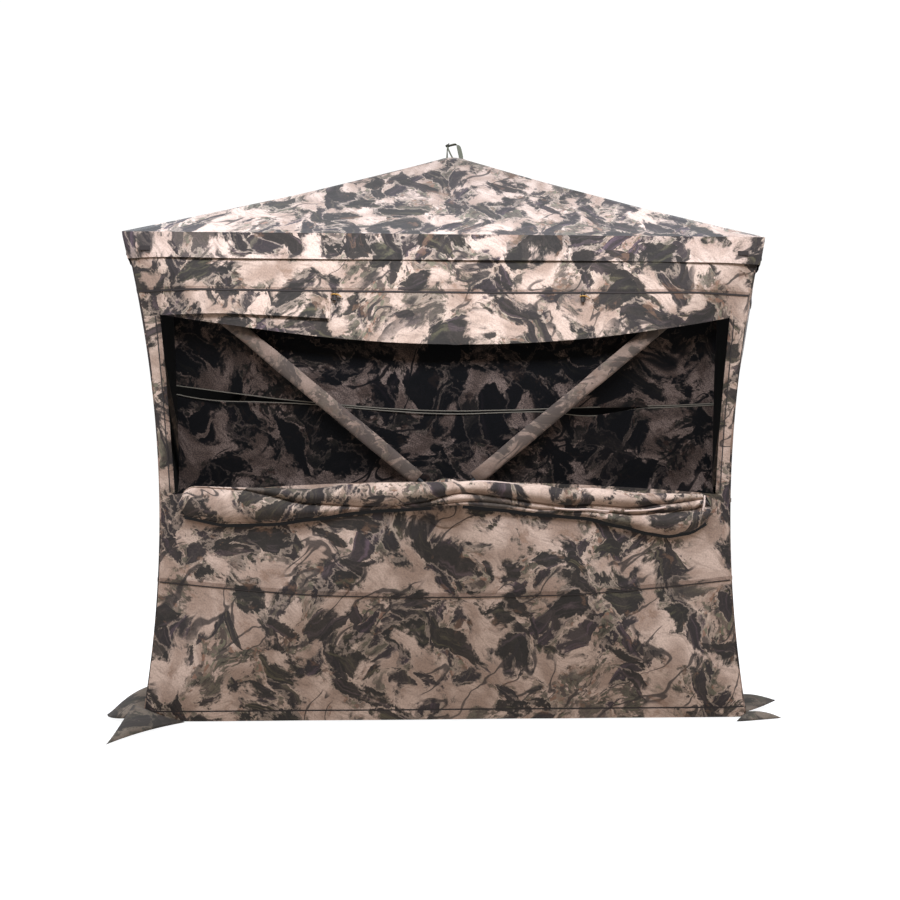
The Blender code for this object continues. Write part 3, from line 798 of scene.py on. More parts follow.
def build_roof():
    """Four slopes that sag between the rods and dip a little along them."""
    across, up = 44, 34
    rows = []
    for s in span(0, 1, up):
        row = []
        for quarter in range(4):
            turn = quarter_turn(quarter)
            for i in range(across):
                x = ROOF_HALF * (2 * i / across - 1)
                edge = Vector((x, -ROOF_HALF))
                rim = edge.normalized() * HUB_FLAT
                flat = edge.lerp(rim, s)
                between = 1 - abs(x / ROOF_HALF) ** 2
                sag = 0.020 * between * 4 * s * (1 - s)
                bump = 0.0016 * noise.noise(Vector((flat.x * 4, flat.y * 4, quarter * 9.0)))
                dip = 0.008 * math.sin(math.pi * s)
                z = EAVE_Z + (APEX_Z - EAVE_Z) * s - sag + bump * 4 * s * (1 - s)
                row.append(turn @ Vector((flat.x, flat.y, z - dip * (1 - between))))
        rows.append(row)
    top = Vector((0, 0, APEX_Z))
    rows.append([Vector((p.x, p.y, 0)).normalized() * HUB_HOLE + top for p in rows[-1]])
    roof = cloth(
        "roof_cloth",
        rows,
        [ROOF_PAINTED_LIGHT, CLOTH_IN],
        closed=True,
        print_of=lambda i, j, p: (p.x, p.y * 0.6),
    )
    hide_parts("roof_shell")
    follow_hub(roof, roof_share)


def valance_out(x, z, low_half):
    """Hangs just clear of the wall, following its ridges."""
    inside = min(max(x, -edge_half(z)), edge_half(z))
    return max(soft_out(inside, z) + VALANCE_OFF - 0.001, low_half)


def build_valance():
    """The band that hangs over the tops of the walls, with the print running round its corners."""
    across = 60
    rows = []
    for k in range(6):
        share = k / 5
        z = EAVE_Z - VALANCE_DROP * share
        row = []
        for quarter in range(4):
            turn = quarter_turn(quarter)
            for i in range(across):
                u = 2 * i / across - 1
                low_half = edge_half(min(z, WALL_TOP_Z)) + VALANCE_OFF
                x = u * low_half
                out = valance_out(x, min(z, WALL_TOP_Z), low_half)
                wave = 0.0022 * noise.noise(Vector((x * 7, z * 5, quarter * 3.0))) * share
                drop = 0.004 * noise.noise(Vector((x * 2.0, 3.0, quarter * 5.0))) * share
                row.append(turn @ Vector((x, -(out + abs(wave)), z + drop)))
        rows.append(row)

    def printed(_, j, p):
        u = 2 * (j % across) / across - 1
        return (0.8 * (u, 2 + u, 2 - u, -u)[j // across], p.z)

    valance = cloth("roof_valance", rows, [VALANCE_PAINTED_LIGHT, CLOTH_IN], closed=True, print_of=printed)
    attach(valance, "shell")


# ---------------------------------------------------------------- window: nets, sleeves, flap


def build_net(name, low, high, node):
    """A net hung inside the rods. low(s) and high(s) are its edges' heights across it.

    The lower net's bottom comes forward to the wall, so nothing shows between them from above.
    """
    columns, levels = 64, 12
    rows = []
    is_lower = "lower" in name
    heights = [0.0, 0.02, 0.05] + [k / levels for k in range(1, levels)] + [1.0]
    across = span(-1, 1, columns)
    for share in heights:
        row = []
        for s in across:
            z = low(s) + (high(s) - low(s)) * share
            x = s * NET_HALF
            slack = 0.004 * noise.noise(Vector((x * 4, z * 9, 3.0)))
            clear_of_hub = min(max((abs(x) - 0.10) / 0.07, 0.0), 1.0)
            to_wall = is_lower * 0.040 * max(1 - share / 0.15, 0.0) ** 1.6 * clear_of_hub
            row.append(Vector((x, -(soft_out(x, z) - NET_INSET + to_wall + slack), z)))
        rows.append(row)
    net = cloth(name, rows, [NET, NET], thickness=0.0008)
    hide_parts(node)
    tall = high(0) - low(0)
    follow_wall(net, "front")
    edge, side = (high, -1) if is_lower else (low, 1)
    line = []
    for s in across:
        wave = 0.0012 * noise.noise(Vector((s * NET_HALF * 11, 0.0, 11.0)))
        line.append((s * NET_HALF, edge(s) + wave + side * NET_BINDING / 2))
    lift = -NET_INSET + 0.0015
    ribbon(f"{name}_binding", line, NET_BINDING, NET_EDGE, "front", lift=lift)


def direction(line, i):
    """Which way a line of (x, z) places runs at one of them."""
    before, after = line[max(i - 1, 0)], line[min(i + 1, len(line) - 1)]
    return Vector((after[0] - before[0], after[1] - before[1])).normalized()


def ribbon(
    name, line, width, material, wall, lift=0.0006, thickness=0.0012, body=None
):
    """A flat strip on a wall along a line of (x, z) places, riding on a body if one is given, else
    left where it is.
    """
    rows = [[], []]
    for i, (x, z) in enumerate(line):
        along = direction(line, i)
        across = Vector((-along.y, along.x)) * width / 2
        for row, side in zip(rows, (-1, 1)):
            px, pz = x + across.x * side, z + across.y * side
            inside = min(max(px, -edge_half(pz)), edge_half(pz))
            row.append(Vector((px, -(wall_face(inside, pz, wall) + lift + thickness), pz)))
    strip = cloth(name, rows, [material], turn=wall_turn(wall), thickness=thickness)
    if body:
        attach(strip, body)
    else:
        follow_wall(strip, wall)


def wall_face(x, z, wall):
    """How far out a wall's cloth stands at a place on it."""
    z = min(max(z, WALL_BOTTOM_Z), WALL_TOP_Z)
    if wall == "front":
        return front_out(x, z)
    share = wall_sample(x, z)[0]
    return soft_out(x, z) + ripple(x, z, wall_seed(wall)) * min(1, 6 * share * (1 - share))


def rod_line(node, pin):
    """Which way a rod runs from its pin, and how long it is."""
    points = [v.co for v in node.data.vertices]
    reach = max((p - pin).length for p in points)
    end = [p for p in points if (p - pin).length > reach - 0.006]
    tip = sum(end, Vector()) / len(end)
    return (tip - pin).normalized(), (tip - pin).length


def build_sleeves():
    """Camouflage pole sleeves: flat tubes of cloth round every rod."""
    joints = {j["name"]: j for j in frame["joints"]}
    for body in frame["bodies"]:
        if "_rod_" not in body:
            continue
        pin = Vector(joints[f"{body}_pin"]["pos_m"])
        axis = Vector(joints[f"{body}_pin"]["axis"]).normalized()
        along, length = rod_line(frame["nodes"][body], pin)
        outward = axis.cross(along) * -1
        rows = []
        start, end = 0.052, length - 0.012
        steps = 26
        turns = circle(14)
        for i in range(steps + 1):
            share = i / steps
            centre = pin + along * (start + (end - start) * share)
            uneven = 1 + 0.10 * noise.noise(Vector((share * 9, len(body), pin.x * 30)))
            wide = SLEEVE_HALF * uneven
            rows.append(
                [
                    centre + axis * wide * math.cos(a) + outward * SLEEVE_THICK * math.sin(a)
                    for a in turns
                ]
            )
        bm = grid_bmesh(rows, closed=True)
        face_away(bm, (rows[0][0] + rows[-1][len(rows[0]) // 2]) / 2)
        sleeve = new_object(f"{body}_sleeve", bm, [SLEEVE, CLOTH_IN])
        thicken(sleeve, 0.0008)
        sleeve.data.shade_smooth()
        print_by_place(sleeve)
        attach(sleeve, body)


def smooth_curve(points, steps):
    """Points along a Catmull-Rom curve through the given ones."""
    found = []
    for i in range(len(points) - 1):
        before, after = points[max(i - 1, 0)], points[min(i + 2, len(points) - 1)]
        for k in range(steps):
            t = k / steps
            place = []
            for a, b, c, d in zip(before, points[i], points[i + 1], after):
                bend = (2 * a - 5 * b + 4 * c - d) * t**2 + (3 * b - a - 3 * c + d) * t**3
                place.append(0.5 * (2 * b + (c - a) * t + bend))
            found.append(tuple(place))
    found.append(points[-1])
    return found


FLAP_HALF = 0.672

# the folded window cover along its length, as (x, value): its outline's heights, then its two
# creases' heights as shares of the way up it
FLAP_TOP = (
    (-0.672, 0.580), (-0.637, 0.594), (-0.484, 0.590), (-0.333, 0.587), (-0.233, 0.598),
    (-0.149, 0.601), (0.010, 0.603), (0.082, 0.607), (0.220, 0.598), (0.290, 0.5875),
    (0.353, 0.590), (0.408, 0.586), (0.480, 0.577), (0.580, 0.5755), (0.672, 0.573),
)
FLAP_BOTTOM = (
    (-0.672, 0.520), (-0.551, 0.4995), (-0.430, 0.503), (-0.326, 0.516), (-0.218, 0.532),
    (-0.153, 0.538), (0.036, 0.548), (0.130, 0.539), (0.230, 0.527), (0.340, 0.518),
    (0.434, 0.496), (0.507, 0.478), (0.557, 0.470), (0.615, 0.4775), (0.672, 0.505),
)
FLAP_CREASE = (
    (-0.672, 0.97), (-0.500, 0.93), (-0.460, 0.84), (-0.326, 0.47), (-0.200, 0.16),
    (-0.140, 0.07), (-0.060, 0.20), (0.030, 0.50), (0.260, 0.33), (0.434, 0.52), (0.540, 0.74),
    (0.672, 0.86),
)
FLAP_SECOND = (
    (-0.672, 0.035), (-0.060, 0.035), (0.100, 0.20), (0.230, 0.13), (0.434, 0.33),
    (0.540, 0.55), (0.672, 0.60),
)


def along_points(points, x):
    """The value at x of a line through (x, value) points, eased at each."""
    if x <= points[0][0]:
        return points[0][1]
    for (x0, y0), (x1, y1) in zip(points, points[1:]):
        if x <= x1:
            t = (x - x0) / (x1 - x0)
            return y0 + (y1 - y0) * (0.5 * t + 0.5 * t * t * (3 - 2 * t))
    return points[-1][1]


def flap_section(x):
    """The window cover's folds across it at x: (out, height share) points, outside then inside."""
    tall = along_points(FLAP_TOP, x) - along_points(FLAP_BOTTOM, x)
    upper, lower = along_points(FLAP_CREASE, x), along_points(FLAP_SECOND, x)
    points = [(0.002, 0.94)]
    for high, low in ((1.0, upper), (upper, lower), (lower, 0.0)):
        bulge = min(0.55 * (high - low) * tall, 0.022)
        for k in range(9):
            u = k / 9
            points.append((0.009 + bulge * math.sin(math.pi * u) ** 0.6, high + (low - high) * u))
    points += [(0.009, 0.0), (0.005, 0.05), (0.004, 0.35), (0.004, 0.70), (0.006, 0.84)]
    points += [(0.008, 0.70), (0.008, 0.40), (0.007, 0.12)]
    return points


def flap_place(x, out, share, end=1.0):
    """A place on the cover: how far out and up its folds it is; end closes it up at its ends."""
    top, bottom = along_points(FLAP_TOP, x), along_points(FLAP_BOTTOM, x)
    middle = (top + bottom) / 2
    z = middle + (bottom + (top - bottom) * share - middle) * end
    over_cap = 0.022 * math.exp(-((x / 0.085) ** 2))
    sway = 0.0022 * noise.noise(Vector((x * 9.0, share * 2.5, 8.0)))
    proud = 0.0015 + out * (0.5 + 0.5 * end) + over_cap + abs(sway)
    return Vector((x, -(wall_face(x, z, "front") + proud), z))


def build_flap():
    columns = 120
    rows, lengths = [], []
    for i in range(columns + 1):
        x = FLAP_HALF * (2 * i / columns - 1)
        end = min(1.0, (FLAP_HALF - abs(x)) / 0.022)
        end = 0.30 + 0.70 * math.sqrt(max(end * (2 - end), 0.0))
        row = [flap_place(x, out, share, end) for out, share in flap_section(x)]
        rows.append(row)
        run = [0.0]
        for p, q in zip(row, row[1:]):
            run.append(run[-1] + (q - p).length)
        lengths.append(run)
    flap = cloth(
        "front_window_cover",
        rows,
        [CLOTH_OUT, CLOTH_IN],
        thickness=0.0007,
        print_of=lambda i, j, p: (p.x + 3.3, lengths[i][j]),
    )
    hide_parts("front_window_flap")
    follow_wall(flap, "front")
    build_flap_trim()


# stretches of the cover's pale binding that show, laid along its fold crests where it also paints
# their highlights, as (x, share of its height, out) along each
COVER_BINDING_HIGHLIGHTS = {
    "top": (
        (0.060, 0.93, 0.016), (0.100, 0.96, 0.012),
        (0.150, 0.95, 0.012), (0.220, 0.90, 0.016),
    ),
    "middle": (
        (0.262, 0.22, 0.019), (0.310, 0.235, 0.019),
        (0.370, 0.29, 0.020), (0.400, 0.34, 0.020),
    ),
    "right": (
        (0.440, 0.42, 0.020), (0.480, 0.52, 0.020),
        (0.520, 0.60, 0.021), (0.548, 0.67, 0.020),
    ),
    "end": (
        (0.655, 0.95, 0.012), (0.652, 0.70, 0.021),
        (0.646, 0.40, 0.021), (0.638, 0.12, 0.019),
    ),
}


def build_flap_trim():
    """A black strip of painted shadow under the cover's lower edge, and its pale bound edge where
    that comes out, which also paints the highlights on its fold crests.
    """
    # Painted shadow: black backing cloth laid on the wall just under the cover's lower edge.
    painted_shadow_line = []
    for i in range(81):
        x = FLAP_HALF * 0.985 * (2 * i / 80 - 1)
        painted_shadow_line.append((x, along_points(FLAP_BOTTOM, x) - 0.0025))
    ribbon("front_cover_painted_shadow", painted_shadow_line, 0.011, CLOTH_IN, "front", lift=0.0030)
    # Painted highlight in part: pale cords along the fold crests, which also stand for the cover's
    # bound edge.
    for label, keys in COVER_BINDING_HIGHLIGHTS.items():
        path = smooth_curve(keys, 6)
        points = [flap_place(x, out, share) + Vector((0, -0.001, 0)) for x, share, out in path]
        edge = tube(f"front_cover_binding_{label}", points, 0.0026, PALE_BINDING_AND_HIGHLIGHT)
        follow_wall(edge, "front")


# ---------------------------------------------------------------- seams, hems and small trim


def seam_height(x, z, sag, half):
    return z - sag * (1 - (x / half) ** 2)


def in_doorway(place):
    """Whether an (x, z) place on the back wall is on its door."""
    x, z = place
    share = wall_sample(x, z)[0]
    reach = math.hypot(x, z - HUB_Z)
    far = (reach - share * HUB_FLAT) / (1 - share)
    edge_z = HUB_Z + (z - HUB_Z) * far / reach
    return x > 0 and DOOR_OUTER <= share <= DOOR_INNER and DOOR_LOW_Z <= edge_z <= DOOR_HIGH_Z


def lower_seam(name, line, width, material, wall, thickness):
    """A seam across the lower wall. On the back wall, the stretch on the door goes with the door."""
    if wall != "back":
        ribbon(name, line, width, material, wall, thickness=thickness)
        return
    runs = [(on_door, list(places)) for on_door, places in groupby(line, in_doorway)]
    for (on_door, places), label in zip(runs, ("", "_door", "_corner")):
        body = "back_door" if on_door else None
        ribbon(name + label, places, width, material, wall, thickness=thickness, body=body)


def build_seams():
    for wall in WALLS:
        half = edge_half(LOWER_SEAM_Z) - 0.004
        xs = span(-half, half, 360 if wall == "back" else 60)
        line = [(x, seam_height(x, LOWER_SEAM_Z, LOWER_SEAM_SAG, half)) for x in xs]
        lower_seam(f"{wall}_lower_seam", line, 0.009, SEAM, wall, 0.0012)
        # Painted shadow: a dark strip laid just under each lower seam.
        shadow = [(x, z - 0.0062) for x, z in line]
        lower_seam(f"{wall}_lower_seam_stitch", shadow, 0.0026, STITCH_AND_SHADOW_DARK, wall, 0.0008)
        half = edge_half(0.02) - 0.004
        line = [(x, HEM_Z) for x in span(-half, half, 60)]
        ribbon(f"{wall}_hem", line, 0.024, CLOTH_OUT, wall, thickness=0.0016)
        line = [(x, HEM_STITCH_Z) for x in span(-half, half, 60)]
        ribbon(f"{wall}_hem_stitch", line, 0.0034, STITCH_AND_SHADOW_DARK, wall, thickness=0.0009)
        half = edge_half(HEADER_SEAM_Z) - 0.006
        line = [(x, seam_height(x, HEADER_SEAM_Z, 0.006, half)) for x in span(-half, half, 60)]
        ribbon(f"{wall}_header_seam", line, 0.0045, STITCH_AND_SHADOW_DARK, wall, thickness=0.0008)
        line = [(x, z + 0.0052) for x, z in line]
        ribbon(f"{wall}_header_fold", line, 0.006, SEAM, wall, thickness=0.0010)


def build_jamb_stitching():
    """The turned and stitched edges down each side of the window."""
    for side, label in ((-1, "left"), (1, "right")):
        zs = span(SILL_Z + 0.004, HEAD_Z - 0.004, 30)
        line = [(side * (window_half(z) + 0.012), z) for z in zs]
        ribbon(f"front_jamb_stitch_{label}", line, 0.0026, STITCH_AND_SHADOW_DARK, "front", thickness=0.0008)
        line = [(side * (window_half(z) + 0.0045), z) for z in zs]
        ribbon(f"front_jamb_hem_{label}", line, 0.008, SEAM, "front", thickness=0.0012)


def build_header_layer():
    """The loose outer layer over the window's head, whose left part hangs straight."""
    half, columns, levels = HEAD_HALF, 40, 8
    rows = []
    for k in range(levels + 1):
        share = k / levels
        row = []
        for i in range(columns + 1):
            x = -half + 0.006 + HEADER_LAYER_WIDE * i / columns
            low = HEAD_Z - 0.004 - 0.016 * (i / columns) ** 1.5
            z = low + (HEADER_SEAM_Z - 0.008 - low) * share
            lift = 0.0012 + 0.0075 * (1 - share) ** 1.4
            row.append(Vector((x, -(wall_face(x, z, "front") + lift + CLOTH), z)))
        rows.append(row)
    layer = cloth("front_header_layer", rows, [CLOTH_OUT, CLOTH_IN])
    follow_wall(layer, "front")


def sweep(rows):
    """A closed solid through rings of points."""
    bm = grid_bmesh(rows, closed=True)
    bmesh.ops.holes_fill(bm, edges=[e for e in bm.edges if e.is_boundary])
    bmesh.ops.recalc_face_normals(bm, faces=bm.faces)
    return bm


def tube(name, points, radius, material):
    """A round cord through the points, with closed ends."""
    turns = circle(8)
    rows = []
    for i, p in enumerate(points):
        along = points[min(i + 1, len(points) - 1)] - points[max(i - 1, 0)]
        along.normalize()
        side = along.orthogonal().normalized()
        other = along.cross(side)
        rows.append([p + (side * math.cos(a) + other * math.sin(a)) * radius for a in turns])
    obj = new_object(name, sweep(rows), [material])
    obj.data.shade_smooth()
    return print_by_place(obj)


def box_piece(name, size, matrix, material):
    """A block with its edges rounded a little."""
    bm = bmesh.new()
    bmesh.ops.create_cube(bm, size=1.0)
    bmesh.ops.scale(bm, vec=size, verts=bm.verts)
    bmesh.ops.bevel(bm, geom=bm.edges[:], offset=0.0006, segments=2, affect="EDGES")
    bm.transform(matrix)
    obj = new_object(name, bm, [material])
    smooth(obj, 40)
    return print_by_place(obj)


def build_toggle_loops():
    """A tan cord loop round each window toggle, sewn to the header seam."""
    for label in ("left", "right"):
        low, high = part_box(f"front_toggle_{label}")
        centre = (Vector(low) + Vector(high)) / 2
        ring = []
        for k in range(17):
            turn = 2 * math.pi * k / 16
            ring.append(centre + Vector((0.0068 * math.sin(turn), 0.0068 * math.cos(turn), 0.001)))
        loop = tube(f"front_toggle_loop_{label}", ring, 0.0016, THREAD)
        give(loop, "shell")
        tail = [
            Vector((centre.x + 0.003, centre.y + 0.002, centre.z + 0.004)),
            Vector((centre.x + 0.009, centre.y + 0.001, centre.z + 0.002)),
            Vector((centre.x + 0.017, centre.y + 0.003, centre.z - 0.004)),
        ]
        cord = tube(f"front_toggle_tail_{label}", tail, 0.0013, THREAD)
        give(cord, "shell")


def build_bar_tacks():
    """Small dense stitches on the valance near each corner."""
    for wall in WALLS:
        turn = wall_turn(wall)
        for side in (-1, 1):
            z = EAVE_Z - 0.042
            x = side * (edge_half(z) - 0.045)
            out = valance_out(x, z, edge_half(z) + VALANCE_OFF) + 0.0022
            place = turn @ Matrix.Translation((x, -out, z))
            name = f"{wall}_bar_tack_{'r' if side > 0 else 'l'}"
            tack = box_piece(name, (0.026, 0.0016, 0.011), place, STITCH_AND_SHADOW_DARK)
            give(tack, "shell")


def build_corner_piping():
    """Bound edges where two walls meet."""
    for quarter, name in enumerate(("fr", "br", "bl", "fl")):
        turn = quarter_turn(quarter)
        points = []
        for z in span(0.008, WALL_TOP_Z - 0.004, 60):
            half = edge_half(z) - 0.0012
            points.append(turn @ Vector((half, -half, z)))
        piping = tube(f"corner_piping_{name}", points, 0.0032, SEAM)
        give(piping, "shell")


# ---------------------------------------------------------------- hubs and straps


def hub_matrix(hub):
    """+Z out of the hub's cap, origin in the middle of the cloth's face over it."""
    if hub == "roof":
        return Matrix.Translation((0, 0, APEX_Z))
    face = Matrix.Translation((0, -HUB_OUT, HUB_Z)) @ Matrix.Rotation(math.pi / 2, 4, "X")
    return wall_turn(hub) @ face


def build_strap(hub, path, widths, material):
    """Webbing along a path in the hub's own frame; widths are the band's directions."""
    thick = 0.0022
    rows = []
    for i, p in enumerate(path):
        p = Vector(p)
        along = (Vector(path[min(i + 1, len(path) - 1)]) - Vector(path[max(i - 1, 0)])).normalized()
        wide = Vector(widths[i])
        half_width = wide.length
        wide = (wide - along * wide.dot(along)).normalized() * half_width
        up = along.cross(wide).normalized() * thick / 2
        rows.append([p + wide + up, p - wide + up, p - wide - up, p + wide - up])
    bm = sweep(rows)
    bm.transform(hub_matrix(hub))
    strap = new_object(f"{hub}_pull_webbing", bm, [material])
    smooth(strap, 50)
    print_by_place(strap)
    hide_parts(f"{hub}_pull_strap")
    give(strap, f"{hub}_hub")


def arch(half, height, foot):
    """A loop's path: up one side, round the top and down the other."""
    steps = 10
    corner = min(half, height * 0.5)
    points = [(-half, 0, foot + (height - corner) * share) for share in (0, 0.5, 1)]
    for i in range(1, steps + 1):
        turn = math.pi - i * math.pi / 2 / steps
        x = -half + corner + corner * math.cos(turn)
        points.append((x, 0, foot + height - corner + corner * math.sin(turn)))
    points += [(-x, y, z) for x, y, z in reversed(points[:-1])]
    return points


# the roof's pull loop in its hub's frame: places along it, with half the band's width as a vector
ROOF_LOOP = (
    ((-0.0200, 0.000, 0.0050), (0.002, 0.0050, 0)),
    ((-0.0195, 0.000, 0.0200), (0.002, 0.0055, 0)),
    ((-0.0190, 0.000, 0.0400), (0.001, 0.0060, 0)),
    ((-0.0180, 0.000, 0.0540), (0.000, 0.0065, 0)),
    ((-0.0120, 0.000, 0.0610), (0.000, 0.0070, 0)),
    ((-0.0030, 0.000, 0.0640), (0.000, 0.0072, 0)),
    ((0.0060, 0.000, 0.0660), (0.001, 0.0070, 0)),
    ((0.0130, 0.000, 0.0650), (0.003, 0.0062, 0)),
    ((0.0185, 0.000, 0.0590), (0.006, 0.0050, 0.001)),
    ((0.0225, 0.000, 0.0450), (0.007, 0.0038, 0.001)),
    ((0.0265, 0.000, 0.0260), (0.007, 0.0035, 0)),
    ((0.0290, 0.000, 0.0050), (0.006, 0.0035, 0)),
)
ROOF_TIE = (
    (-0.0190, -0.004, 0.058),
    (-0.0140, -0.004, 0.045),
    (-0.0050, -0.004, 0.026),
    (0.0060, -0.004, 0.008),
    (0.0080, -0.004, 0.0055),
)
ROOF_KNOT = ((-0.023, -0.003, 0.058), (-0.018, -0.006, 0.061), (-0.012, -0.003, 0.060))
ROOF_TAIL = ((-0.016, -0.003, 0.060), (-0.013, -0.003, 0.069))


def build_hub_trim():
    for hub in WALLS:
        height = 0.0155 if hub == "front" else 0.044
        path = arch(0.0255, height, 0.0050)
        build_strap(hub, path, [(0, 0.0070, 0)] * len(path), WEBBING_DARK)
    path = smooth_curve([p for p, _ in ROOF_LOOP], 4)
    widths = smooth_curve([w for _, w in ROOF_LOOP], 4)
    build_strap("roof", path, widths, WEBBING)
    for label, points, radius, material in (
        ("tie", ROOF_TIE, 0.0026, WEBBING),
        ("knot", ROOF_KNOT, 0.0042, WEBBING_DARK),
        ("tail", ROOF_TAIL, 0.0014, WEBBING_DARK),
    ):
        placed = [hub_matrix("roof") @ Vector(p) for p in points]
        cord = tube(f"roof_pull_{label}", placed, radius, material)
        give(cord, "roof_hub")


def build_hub_patches():
    """A round reinforcing patch on the cloth at every hub; the front one covers the cap too."""
    turns = circle(40)
    for hub in WALLS + ("roof",):
        if hub == "front":
            ring = [(0.001, 0.0062), (0.012, 0.0062), (0.026, 0.0060)]
            ring += [(0.036, 0.0052), (0.042, 0.0030)]
        else:
            ring = [(0.0355, 0.0004), (0.0355, 0.0014)]
        rows = []
        for radius, lift in ring + [(0.0575, 0.0014), (0.0585, 0.0004)]:
            round_it = [(radius * math.cos(a), radius * math.sin(a), lift) for a in turns]
            rows.append([hub_matrix(hub) @ Vector(p) for p in round_it])
        bm = grid_bmesh(rows, closed=True)
        bmesh.ops.recalc_face_normals(bm, faces=bm.faces)
        patch = new_object(f"{hub}_hub_patch", bm, [CLOTH_OUT if hub == "front" else SEAM])
        patch.data.shade_smooth()
        if hub != "front":
            print_by_place(patch)
        give(patch, f"{hub}_hub")


# ---------------------------------------------------------------- ground tongues


def build_tongue(name, root_a, root_b, tip, lift, fullness):
    """A pointed flap of cloth from a root edge to a tip on the ground.

    fullness 1 narrows all the way to the tip in a hollow curve; more makes a fuller leaf.
    """
    root_a, root_b, tip = Vector(root_a), Vector(root_b), Vector(tip)
    middle = root_a.lerp(root_b, 0.5)
    rows = []
    along_steps, across_steps = 18, 10
    for i in range(along_steps + 1):
        t = i / along_steps
        width = (1 - t) ** 1.15 + (fullness - 1) * math.sin(math.pi * t) ** 0.8
        row = []
        for j in range(across_steps + 1):
            s = j / across_steps
            base = root_a.lerp(root_b, s)
            p = middle.lerp(tip, t) + (base - middle) * width
            arch_up = lift * math.sin(math.pi * min(t * 1.05, 1.0)) * (1 - 0.6 * (2 * s - 1) ** 2)
            p.z = max(p.z + arch_up, 0.0012)
            row.append(p)
        rows.append(row)
    bm = grid_bmesh(rows, print_of=lambda i, j, p: (p.x + 2.1, p.y))
    bm.normal_update()
    if sum(f.normal.z * f.calc_area() for f in bm.faces) < 0:
        bmesh.ops.reverse_faces(bm, faces=bm.faces)
    tongue = new_object(name, bm, [TONGUE, CLOTH_IN])
    thicken(tongue, 0.0010)
    tongue.data.shade_smooth()
    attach(tongue, "shell")
    return tongue


def build_ground_tongues():
    """Two tongues at each corner: (root edge, tip, lift, fullness), at the x > 0, y > 0 corner."""
    b = edge_half(WALL_BOTTOM_Z)
    root = ((b + 0.024, b - 0.004, 0.046), (b - 0.106, b + 0.004, 0.004))
    wide_a = root, (0.776, 0.962, 0.002), 0.008, 1.0
    root = ((b + 0.003, b - 0.012, 0.018), (b + 0.003, b - 0.175, 0.060))
    wide_b = root, (0.878, 0.690, 0.006), 0.024, 1.5
    root = ((b + 0.004, b - 0.010, 0.016), (b - 0.035, b + 0.034, 0.002))
    narrow_a = root, (0.850, 0.772, 0.004), 0.006, 1.35
    root = ((b + 0.003, b - 0.030, 0.010), (b + 0.003, b - 0.140, 0.028))
    narrow_b = root, (0.884, 0.625, 0.016), 0.010, 1.3
    for name, (sx, sy) in CORNERS.items():
        pair = (wide_a, wide_b) if name in ("fl", "br") else (narrow_a, narrow_b)
        for label, (root, tip, lift, fullness) in zip("ab", pair):
            root_a, root_b, tip = [(sx * x, sy * y, z) for x, y, z in (*root, tip)]
            tongue = f"ground_tongue_{name}_{label}"
            build_tongue(tongue, root_a, root_b, tip, lift, fullness)
        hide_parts(f"corner_foot_{name}")


# ---------------------------------------------------------------- door trim


def build_door_trim():
    """Zip tapes round the doorway, and black strips behind its gaps that keep the light out."""

    def edge(z_span, share_span):
        places = [ruled(side_point(z), s) for z, s in zip(z_span, share_span)]
        return [(x, z) for x, _, z in places]

    steps = 24
    across, up = span(DOOR_OUTER, DOOR_INNER, steps), span(DOOR_LOW_Z, DOOR_HIGH_Z, steps)
    edges = {
        "low": (edge([DOOR_LOW_Z] * (steps + 1), across), 1),
        "high": (edge([DOOR_HIGH_Z] * (steps + 1), across), -1),
        "inner": (edge(up, [DOOR_INNER] * (steps + 1)), -1),
        "outer": (edge(up, [DOOR_OUTER] * (steps + 1)), 1),
    }
    for label, (line, side) in edges.items():
        moved = []
        for i, (x, z) in enumerate(line):
            along = direction(line, i)
            moved.append((x - along.y * TAPE_OFF * side, z + along.x * TAPE_OFF * side))
        ribbon(f"back_door_tape_{label}", moved, 0.014, ZIP_TAPE, "back", body="back_door_panel")
        strip = f"back_door_draught_strip_{label}"
        ribbon(strip, moved, 0.050, CLOTH_IN, "back", lift=-0.0085, body="back_door_panel")


def restyle():
    """Gives the CAD pieces that stay in view their finishes."""
    for name, node in frame["nodes"].items():
        if name.endswith(("_hub", "_cap")):
            material = HUB_BLACK
        elif "_rod_" in name:
            material = ROD_DARK
        elif "pocket" in name:
            material = WEBBING_DARK
        elif "slider" in name:
            material = ZIP
        elif "toggle" in name:
            material = TOGGLE
        else:
            continue
        node.data.materials.clear()
        node.data.materials.append(material)


# ---------------------------------------------------------------- stage, lights, camera


def strip_light(quarter):
    """A long soft light above and in front of one side, aimed near the top of its wall."""
    turn = quarter_turn(quarter)
    place, target = turn @ Vector((0.0, -1.95, 2.12)), turn @ Vector((0.0, -0.7, 1.14))
    data = bpy.data.lights.new(f"strip_light_{quarter}", "AREA")
    data.shape = "RECTANGLE"
    data.size, data.size_y = 2.2, 0.6
    data.energy = 71
    data.color = (0.89, 0.98, 1.12)
    light = bpy.data.objects.new(data.name, data)
    light.location = place
    light.visible_camera = False
    light.rotation_euler = (target - place).to_track_quat("-Z", "Y").to_euler()
    bpy.context.scene.collection.objects.link(light)


def studio_world():
    """A white backdrop that lights the blind more softly than it looks."""
    world = bpy.data.worlds.new("studio")
    world.use_nodes = True
    t = Tree(world.node_tree)
    background = world.node_tree.nodes["Background"]
    seen = t.node("ShaderNodeLightPath").outputs["Is Camera Ray"]
    t.put(background.inputs["Color"], t.mix(seen, (0.42, 0.365, 0.325), (1.0, 1.0, 1.0)))
    t.put(background.inputs["Strength"], 1.05)
    return world


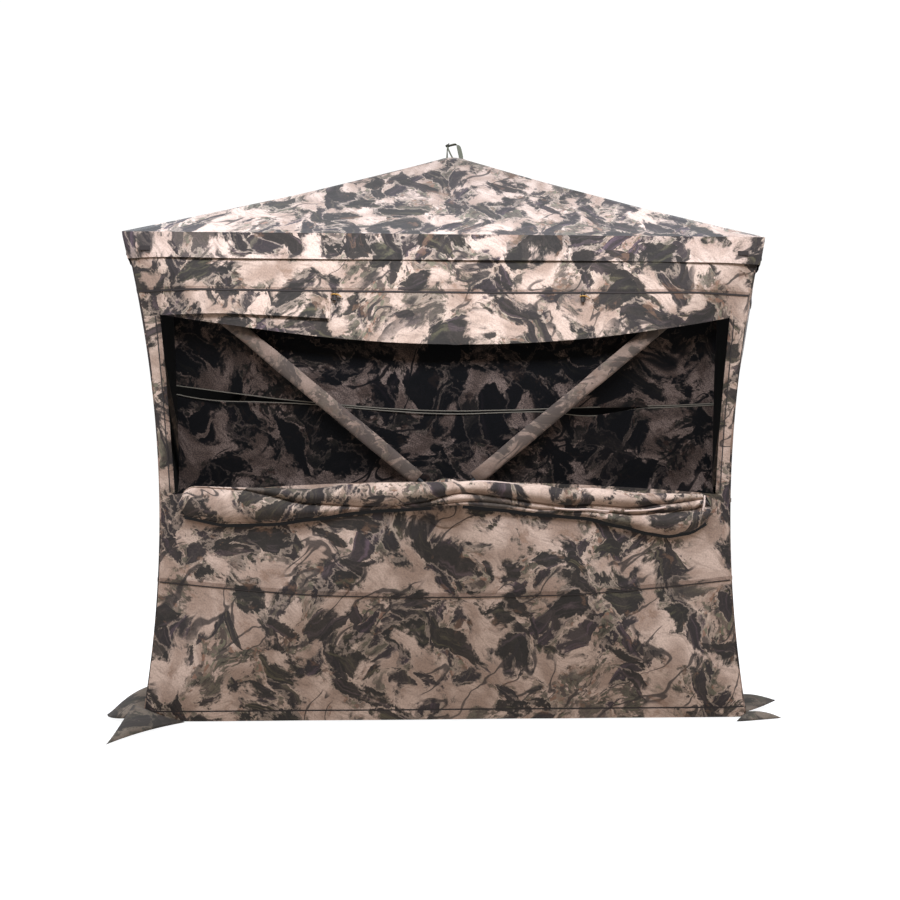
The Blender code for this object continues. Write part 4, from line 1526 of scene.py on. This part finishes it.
def build_floor():
    """A white floor by its own light, so the blind's shade on it stays faint."""
    bm = bmesh.new()
    bmesh.ops.create_grid(bm, x_segments=1, y_segments=1, size=30)
    white = plain_material("stage_white", (0.22, 0.22, 0.22), 1.0, specular=0.0)
    sockets = white.node_tree.nodes["Principled BSDF"].inputs
    sockets["Emission Color"].default_value = (1.0, 1.0, 1.0, 1.0)
    sockets["Emission Strength"].default_value = 0.95
    floor = new_object("stage_floor", bm, [white])
    floor.visible_diffuse = False


def build_camera():
    data = bpy.data.cameras.new("camera")
    data.sensor_width = 36.0
    data.lens = 36.98
    data.shift_x = -0.0559
    data.shift_y = 0.0479
    data.clip_end = 100
    camera = bpy.data.objects.new("camera", data)
    camera.location = (0.055, -3.105, 0.5765)
    camera.rotation_euler = (math.radians(90), 0, math.radians(-1.92))
    bpy.context.scene.collection.objects.link(camera)
    bpy.context.scene.camera = camera


def build_stage():
    scene = bpy.context.scene
    build_floor()
    scene.world = studio_world()
    for quarter in range(4):
        strip_light(quarter)
    scene.view_settings.view_transform = "Standard"
    scene.view_settings.look = "None"
    build_camera()


def slit_middle(s):
    """Where the two nets meet: lowest in the middle, highest at the left."""
    return 0.778 + (0.071 * abs(s) ** 1.6 if s < 0 else 0.032 * s**1.6)


def slit_gape(s):
    """How far the nets stand apart: a long gap at the left, a short one right of the middle."""
    left = 0.021 * math.exp(-(((s + 0.90) / 0.24) ** 2))
    middle = 0.003 * math.exp(-(((s - 0.02) / 0.24) ** 2))
    right = 0.017 * math.exp(-(((s - 0.52) / 0.13) ** 2))
    return 0.0022 + left + middle + right


def slit_low(s):
    """The lower net's top edge."""
    return slit_middle(s) - 0.9 * slit_gape(s)


def slit_high(s):
    """The upper net's bottom edge."""
    return slit_middle(s) + 0.1 * slit_gape(s)


def main():
    build_front_wall()
    for name in ("right", "left"):
        build_plain_wall(name)
    build_plain_wall("back", with_door=True)
    build_door()
    build_roof()
    build_valance()
    build_net("front_net_lower_cloth", lambda s: 0.560, slit_low, "front_net_lower")
    build_net("front_net_upper_cloth", slit_high, lambda s: 1.030, "front_net_upper")
    build_sleeves()
    build_flap()
    build_seams()
    build_jamb_stitching()
    build_header_layer()
    build_toggle_loops()
    build_bar_tacks()
    build_corner_piping()
    build_hub_trim()
    build_hub_patches()
    build_ground_tongues()
    build_door_trim()
    restyle()
    build_stage()


main()
